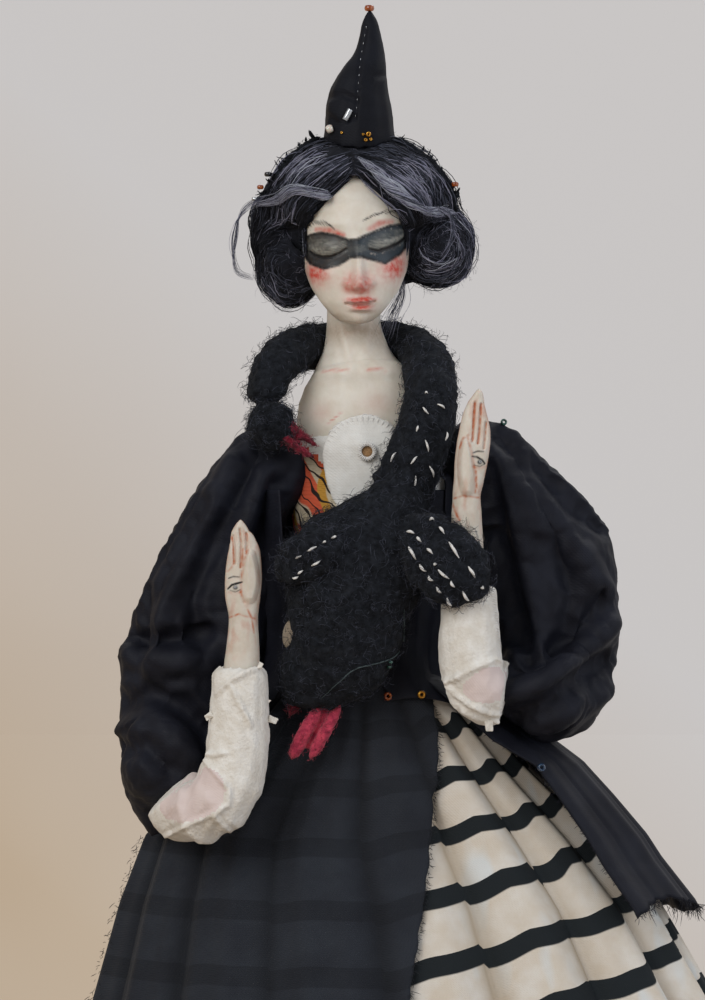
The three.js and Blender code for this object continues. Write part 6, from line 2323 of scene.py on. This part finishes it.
@dataclass
class Swan:
    """The black felt swan worn as a stole, with coral beak and feet and white stitches."""

    neck_stitches: tuple[Stitch, ...] = (
        Stitch(20.6, 382.5, 0, 0.8), Stitch(20.3, 377.3, -50, 2.6), Stitch(24.9, 378.6, -30, 2.6),
        Stitch(17.8, 372.0, 70, 1.8), Stitch(20.6, 366.8, -75, 3.7), Stitch(26.4, 369.8, 80, 2.6),
        Stitch(22.0, 359.2, -70, 3.5), Stitch(16.8, 362.7, 50, 2.9), Stitch(10.7, 363.6, 60, 3.2),
        Stitch(13.7, 355.1, 75, 4.2), Stitch(17.0, 356.1, 82, 4.0), Stitch(9.8, 352.7, 85, 2.0),
        Stitch(18.8, 351.1, -30, 2.6),
    )
    wing_stitches: tuple[Stitch, ...] = (
        Stitch(21.8, 345.1, 0, 1.2), Stitch(24.6, 342.0, -50, 2.6), Stitch(28.2, 336.3, -58, 5.6),
        Stitch(33.3, 329.9, -60, 3.8), Stitch(36.3, 325.6, 45, 0.8), Stitch(31.6, 322.9, -55, 3.4),
        Stitch(15.6, 341.4, -15, 2.5), Stitch(18.1, 339.4, -50, 1.9), Stitch(21.2, 336.0, -45, 2.3),
        Stitch(16.1, 335.4, -60, 4.4), Stitch(22.7, 332.2, 0, 0.8), Stitch(19.2, 331.1, -45, 2.9),
        Stitch(25.1, 329.3, -40, 4.2), Stitch(21.5, 328.1, -45, 2.0), Stitch(27.8, 326.4, -60, 2.1),
        Stitch(23.8, 324.7, -50, 2.2), Stitch(26.8, 321.2, -60, 2.8), Stitch(28.7, 318.8, -50, 1.9),
    )
    left_wing_stitches: tuple[Stitch, ...] = (
        Stitch(-6.8, 340.1, 25, 1.5), Stitch(-9.6, 338.7, 30, 1.2), Stitch(-13.2, 336.7, 25, 3.2),
        Stitch(-17.0, 334.3, 25, 1.9), Stitch(-12.0, 332.5, 30, 3.0), Stitch(-16.5, 329.9, 35, 1.8),
        Stitch(-18.0, 328.4, 15, 1.8),
    )
    # x, y, z, half width and half depth along the body and the wings.
    body_form: Rows = (
        (18, -19, 365, 1, 1), (16.5, -20, 361, 5.5, 5.5), (14, -22, 354, 8, 7.5),
        (10.5, -24.5, 347, 11.5, 9.5),
        (6, -27, 340, 15.5, 12), (1.5, -28.5, 333.5, 19.5, 14), (-1.5, -28.5, 326.5, 20, 15),
        (-3.2, -28, 316, 17.5, 14.5), (-6.3, -28, 306, 16.5, 12.5), (-12.0, -27, 299, 12.5, 9),
        (-16.0, -26, 294, 8.5, 6.5), (-18.0, -25.5, 290.5, 3.5, 3), (-18.5, -25.2, 289.4, 0.4, 0.4),
    )
    wing_right_form: Rows = (
        (10, -31, 345, 1, 1), (13, -33, 342.5, 5, 4), (18, -36, 339.5, 9, 5.5), (24, -40, 334, 11, 6),
        (29.5, -42, 329, 10.5, 5.5), (33, -42.5, 325.5, 8, 4.5), (35.2, -42.5, 323.4, 4.5, 3),
        (36, -42, 322.6, 0.4, 0.4),
    )
    wing_left_form: Rows = (
        (-2, -38, 341, 1, 1), (-6, -40, 339, 5, 3.5), (-11, -41, 336.5, 7.5, 4.5),
        (-16, -39.5, 333.5, 7.5, 4.5),
        (-20, -36.5, 330.5, 5.5, 4), (-22.5, -34.5, 328.5, 2.5, 2.5), (-23, -34, 328, 0.4, 0.4),
    )
    fibre_tints: tuple[Finish, ...] = (BLACK_FELT, BLACK_WOOL, CHARCOAL_WOOL)
    thread: Line = (
        (13.6, 319.0), (13.4, 309.0), (9.6, 304.4), (4.5, 303.0), (-0.6, 301.6), (-5.0, 298.0),
        (-10.6, 292.8),
    )

    def felted(
        self, name: str, node: str, finish: Finish, fibres: int, long: float, voxel: float = 0.9,
        stretch: Triple = (1, 1, 1), tints: Sequence[Finish] = (BLACK_FELT, BLACK_WOOL, CHARCOAL_WOOL),
    ) -> Piece:
        """Makes one felted piece, lumpy and hairy.

        Args:
            name: Its name.
            node: The CAD node that it stands for.
            finish: Its finish.
            fibres: How many loose fibres it has.
            long: Their length.
            voxel: The size of its faces.
            stretch: How it is stretched about its own middle.
            tints: The fibres' finishes.

        Returns:
            The piece.
        """
        piece = remeshed(name, node, finish, voxel, 5)
        art = Sculpture(piece)
        centre = np.array(middle(node)) / MM
        art.points = centre + (art.points - centre) * np.array(stretch)
        art.write()
        art.push(0.75 * art.grain(4.2, 1.0) + 0.5 * art.grain(1.9, 5.0) + 0.25 * np.abs(art.grain(1.1, 9.0)))
        slot = {BLACK_FELT: "black_felt", RED_FELT: "red_felt"}.get(finish, "coral_felt")
        settle(piece, Place.DOLL, slot, node)
        hairs = fuzz(name + "_fibres", piece, fibres, long, 0.9, len(name) + fibres, tints, 0.065)
        settle(hairs, Place.DOLL, slot)
        return piece

    def shaped(
        self, name: str, node: str, form: Sequence[Sequence[float]], across: Triple, fibres: int
    ) -> Piece:
        """Makes one felted piece of its own form.

        Args:
            name: Its name.
            node: The CAD node that it stands for.
            form: x, y, z, half width and half depth along it.
            across: The direction of its width.
            fibres: How many loose fibres it has.

        Returns:
            The piece.
        """
        piece = melded(name, [stuffed(name + "_form", form, 40, 60, BLACK_FELT, across)], BLACK_FELT, 0.8, 3)
        art = Sculpture(piece)
        art.push(0.9 * art.grain(5.0, 1.0) + 0.5 * art.grain(2.0, 5.0) + 0.3 * np.abs(art.grain(1.1, 9.0)))
        settle(piece, Place.DOLL, "black_felt", node)
        hairs = fuzz(name + "_fibres", piece, fibres, 4.2, 0.8, len(name) + fibres, self.fibre_tints, 0.06)
        settle(hairs, Place.DOLL, "black_felt")
        return piece

    def foot(self) -> None:
        """Makes the coral foot: two long toes and the web between them."""
        toes = [
            stuffed("toe_outer", stations, 20, 20, CORAL_FELT)
            for stations in (
                ((-4.9, -28.5, 291.6, 0.4, 0.4), (-6.2, -29.0, 288.6, 1.5, 1.3),
                 (-9.4, -29.6, 282.6, 1.9, 1.6),
                 (-12.6, -29.6, 277.0, 1.6, 1.4), (-14.2, -29.4, 274.4, 0.3, 0.3)),
                ((-9.6, -28.0, 291.2, 0.4, 0.4), (-12.6, -28.8, 287.2, 1.9, 1.5),
                 (-16.0, -29.4, 281.4, 2.2, 1.7),
                 (-18.4, -29.2, 276.6, 1.9, 1.5), (-19.4, -29.0, 274.2, 0.3, 0.3)),
                ((-8.0, -27.6, 290.0, 0.5, 0.5), (-11.2, -27.8, 284.6, 3.2, 0.7),
                 (-14.4, -27.9, 279.0, 2.6, 0.7),
                 (-15.2, -27.9, 277.6, 0.3, 0.3)),
            )
        ]
        foot = melded("felt_foot_right", toes, CORAL_FELT, 0.5, 3)
        art = Sculpture(foot)
        art.push(0.3 * art.grain(1.8, 3.0) + 0.12 * art.grain(0.9, 3.0))
        settle(foot, Place.DOLL, "coral_felt", "swan_foot_right")
        hairs = fuzz("felt_foot_right_fibres", foot, 300, 2.0, 0.5, 91, (CORAL_FELT, RED_FELT), 0.06)
        settle(hairs, Place.DOLL, "coral_felt")

    def build(self) -> None:
        """Makes the swan."""
        neck = self.felted("felt_neck", "swan_neck", BLACK_FELT, 2600, 4.2)
        self.felted("felt_head", "swan_head", BLACK_FELT, 800, 4.0, 0.9, (1.12, 1.05, 1.1))
        body = self.shaped("felt_body", "swan_body", self.body_form, (1, 0, 0), 4600)
        wing_right = self.shaped(
            "felt_wing_right", "swan_wing_right", self.wing_right_form, (0.7, 0, 0.7), 1500
        )
        wing_left = self.shaped("felt_wing_left", "swan_wing_left", self.wing_left_form, (-0.4, 0, 0.9), 800)
        reds = (RED_FELT, CORAL_FELT)
        self.felted("felt_beak_upper", "swan_beak_upper", RED_FELT, 160, 1.8, 0.4, tints=reds)
        self.felted("felt_beak_lower", "swan_beak_lower", RED_FELT, 120, 1.8, 0.4, tints=reds)
        self.felted("felt_foot_left", "swan_foot_left", RED_FELT, 160, 2.2, 0.5, tints=reds)
        self.foot()
        for name, piece, stitches, radius in (
            ("neck_stitches", neck, self.neck_stitches, 0.55),
            ("wing_stitches_right", wing_right, self.wing_stitches, 0.75),
            ("wing_stitches_left", wing_left, self.left_wing_stitches, 0.6),
        ):
            settle(sewn(name, Skin(piece), stitches, radius, WHITE_THREAD), Place.DOLL, "white_linen")
        skin = Skin(body)
        path = []
        for x, _, z in along_line([(x, 0.0, z) for x, z in self.thread], 60):
            place, normal = skin.front(x, z)
            path.append(np.array(place + normal * 0.35 * MM))
        thread = strands("couched_thread", [np.array(path)], 0.22, [DARK_THREAD], [0])
        settle(thread, Place.DOLL, "black_wool")
        bm = bmesh.new()
        for x, z in ((9.3, 303.8), (9.0, 302.3)):
            place, normal = skin.front(x, z)
            bead(bm, place + normal * 0.8 * MM, 0.75, Vector((0, 0, 1)))
        bmesh.ops.recalc_face_normals(bm, faces=bm.faces)
        settle(refined(from_bmesh("teal_beads", bm, [GREEN_GLASS])), Place.DOLL, "green_glass")


@dataclass
class Body:
    """What the clothes hide: the stuffed cotton torso, arms and legs, the clay boots and the stand."""

    elbows: dict[Place, Triple] = field(
        default_factory=lambda: {Place.ARM_LEFT: (-51.0, -22.0, 261.0), Place.ARM_RIGHT: (42.0, -20.0, 294.0)}
    )
    cuff_reach: float = 34.0

    def cuff(self, arm: Piece, art: Sculpture, elbow: np.ndarray) -> None:
        """Turns the sleeve's sateen in over the arm's end, so that black cloth meets the elbow.

        Args:
            arm: The stuffed arm.
            art: Its points.
            elbow: The middle of its elbow, in millimetres.
        """
        out = art.points - elbow
        away = np.linalg.norm(out, axis=1)
        outside = np.clip((art.normals() * out).sum(axis=1) / away * 3, 0, 1)
        near = np.clip((self.cuff_reach - away) / 8, 0, 1)
        pleats = 0.5 + 0.6 * art.grain(3.0, 4.0)
        art.push(near * outside * pleats - (1 - near) * 1.3)
        arm.data.materials.append(BLACK_SATEEN.material())
        for face in arm.data.polygons:
            if all(away[i] < self.cuff_reach for i in face.vertices):
                face.material_index = 1

    def build(self) -> None:
        """Dresses the hidden pieces."""
        for name, node, place, voxel in (
            ("torso", "torso", Place.DOLL, 1.4),
            ("leg_left", "leg_left", Place.DOLL, 1.2),
            ("leg_right", "leg_right", Place.DOLL, 1.2),
            ("arm_left", "upper_arm_left", Place.ARM_LEFT, 1.0),
            ("arm_right", "upper_arm_right", Place.ARM_RIGHT, 1.0),
        ):
            piece = remeshed(f"stuffed_{name}", node, BODY_COTTON, voxel, 3)
            art = Sculpture(piece)
            art.push(0.35 * art.grain(7, 2) + 0.2 * art.grain(3, 2))
            if place in self.elbows:
                self.cuff(piece, art, np.array(self.elbows[place]))
            settle(piece, place, "body_cloth", node)
        for side in Side:
            boot = remeshed(f"clay_boot_{side.word()}", f"boot_{side.word()}", IVORY_CLAY, 0.8, 5)
            art = Sculpture(boot)
            soles = np.clip((16 - art.points[:, 2]) / 6, 0, 0.6)
            art.paint("umber", soles + 0.15 * np.clip(art.grain(5, 2), 0, 1))
            settle(boot, Place.DOLL, "ivory_clay", f"boot_{side.word()}")
        for node, finish in (
            ("wooden_stand", OILED_WOOD), ("leg_wire_left", DRAWN_STEEL), ("leg_wire_right", DRAWN_STEEL),
            ("arm_wire_left", DRAWN_STEEL), ("arm_wire_right", DRAWN_STEEL),
        ):
            dress(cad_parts[node], finish)


def cloth_scrap() -> None:
    """Sets the pale scrap of cloth that shows at the swan's left edge, under its wing."""
    half = Vector((2.7, 0.7, 4.4)) * MM
    place, _ = Skin(bpy.data.objects["felt_body"]).front(-19.6, 311.6)
    lean = Matrix.Rotation(math.radians(-35), 4, "Z") @ Matrix.Rotation(math.radians(14), 4, "Y")
    bm = bmesh.new()
    bmesh.ops.create_uvsphere(
        bm, u_segments=32, v_segments=20, radius=1.0, matrix=Matrix.LocRotScale(place, lean.to_3x3(), half)
    )
    piece = from_bmesh("cloth_scrap", bm, [SCRAP_COTTON])
    settle(piece, Place.DOLL, "printed_cotton")


def loose_beads() -> None:
    """Sews the four loose beads to the cloth that each lies on."""
    # Across and up, to where the cloth's depth shows the bead as the photograph does.
    shifts = {"gold_seed_bead": (-2.4, 1.0), "blue_seed_bead": (-5.2, 3.6)}
    for name, node, cloth, radius, finish, slot, place in (
        ("copper_seed_bead", "bead_copper", "coat_front_right", 1.35, AMBER_GLASS, "amber_glass", Place.DOLL),
        ("gold_seed_bead", "bead_gold", "coat_front_right", 1.35, GOLD_GLASS, "gold_bead", Place.DOLL),
        ("blue_seed_bead", "bead_blue", "coat_tail_cloth", 1.35, BLUE_GLASS, "blue_glass", Place.DOLL),
        (
            "green_seed_bead", "bead_green", "sateen_sleeve_right", 1.1, GREEN_GLASS, "green_glass",
            Place.ARM_RIGHT,
        ),
    ):
        centre = middle(node)
        skin = Skin(bpy.data.objects[cloth])
        near, normal, _, away = skin.tree.find_nearest(centre)
        if away > 4 * MM:
            near, normal = skin.front(centre.x / MM + 2, centre.z / MM)
        if name in shifts:
            near, normal = skin.front(near.x / MM + shifts[name][0], near.z / MM + shifts[name][1])
        out = normal if normal.y < 0 or normal.z > 0.5 else -normal
        place_at = near + out * 0.8 * radius * MM
        settle(bead_piece(name, place_at, radius, Vector((0.2, -1, 0.1)), finish), place, slot, node)


def main() -> None:
    """Dresses the whole doll."""
    logging.basicConfig(level=logging.INFO, format="%(message)s")
    Studio().build()
    Body().build()
    head = Head().build()
    Bust().build()
    Chest().build()
    Hair().build(Skin(head))
    Hat().build()
    Skirts().build()
    Coat().build()
    Hands().build()
    Gauntlets().build()
    Swan().build()
    cloth_scrap()
    loose_beads()


if __name__ == "__main__":
    main()
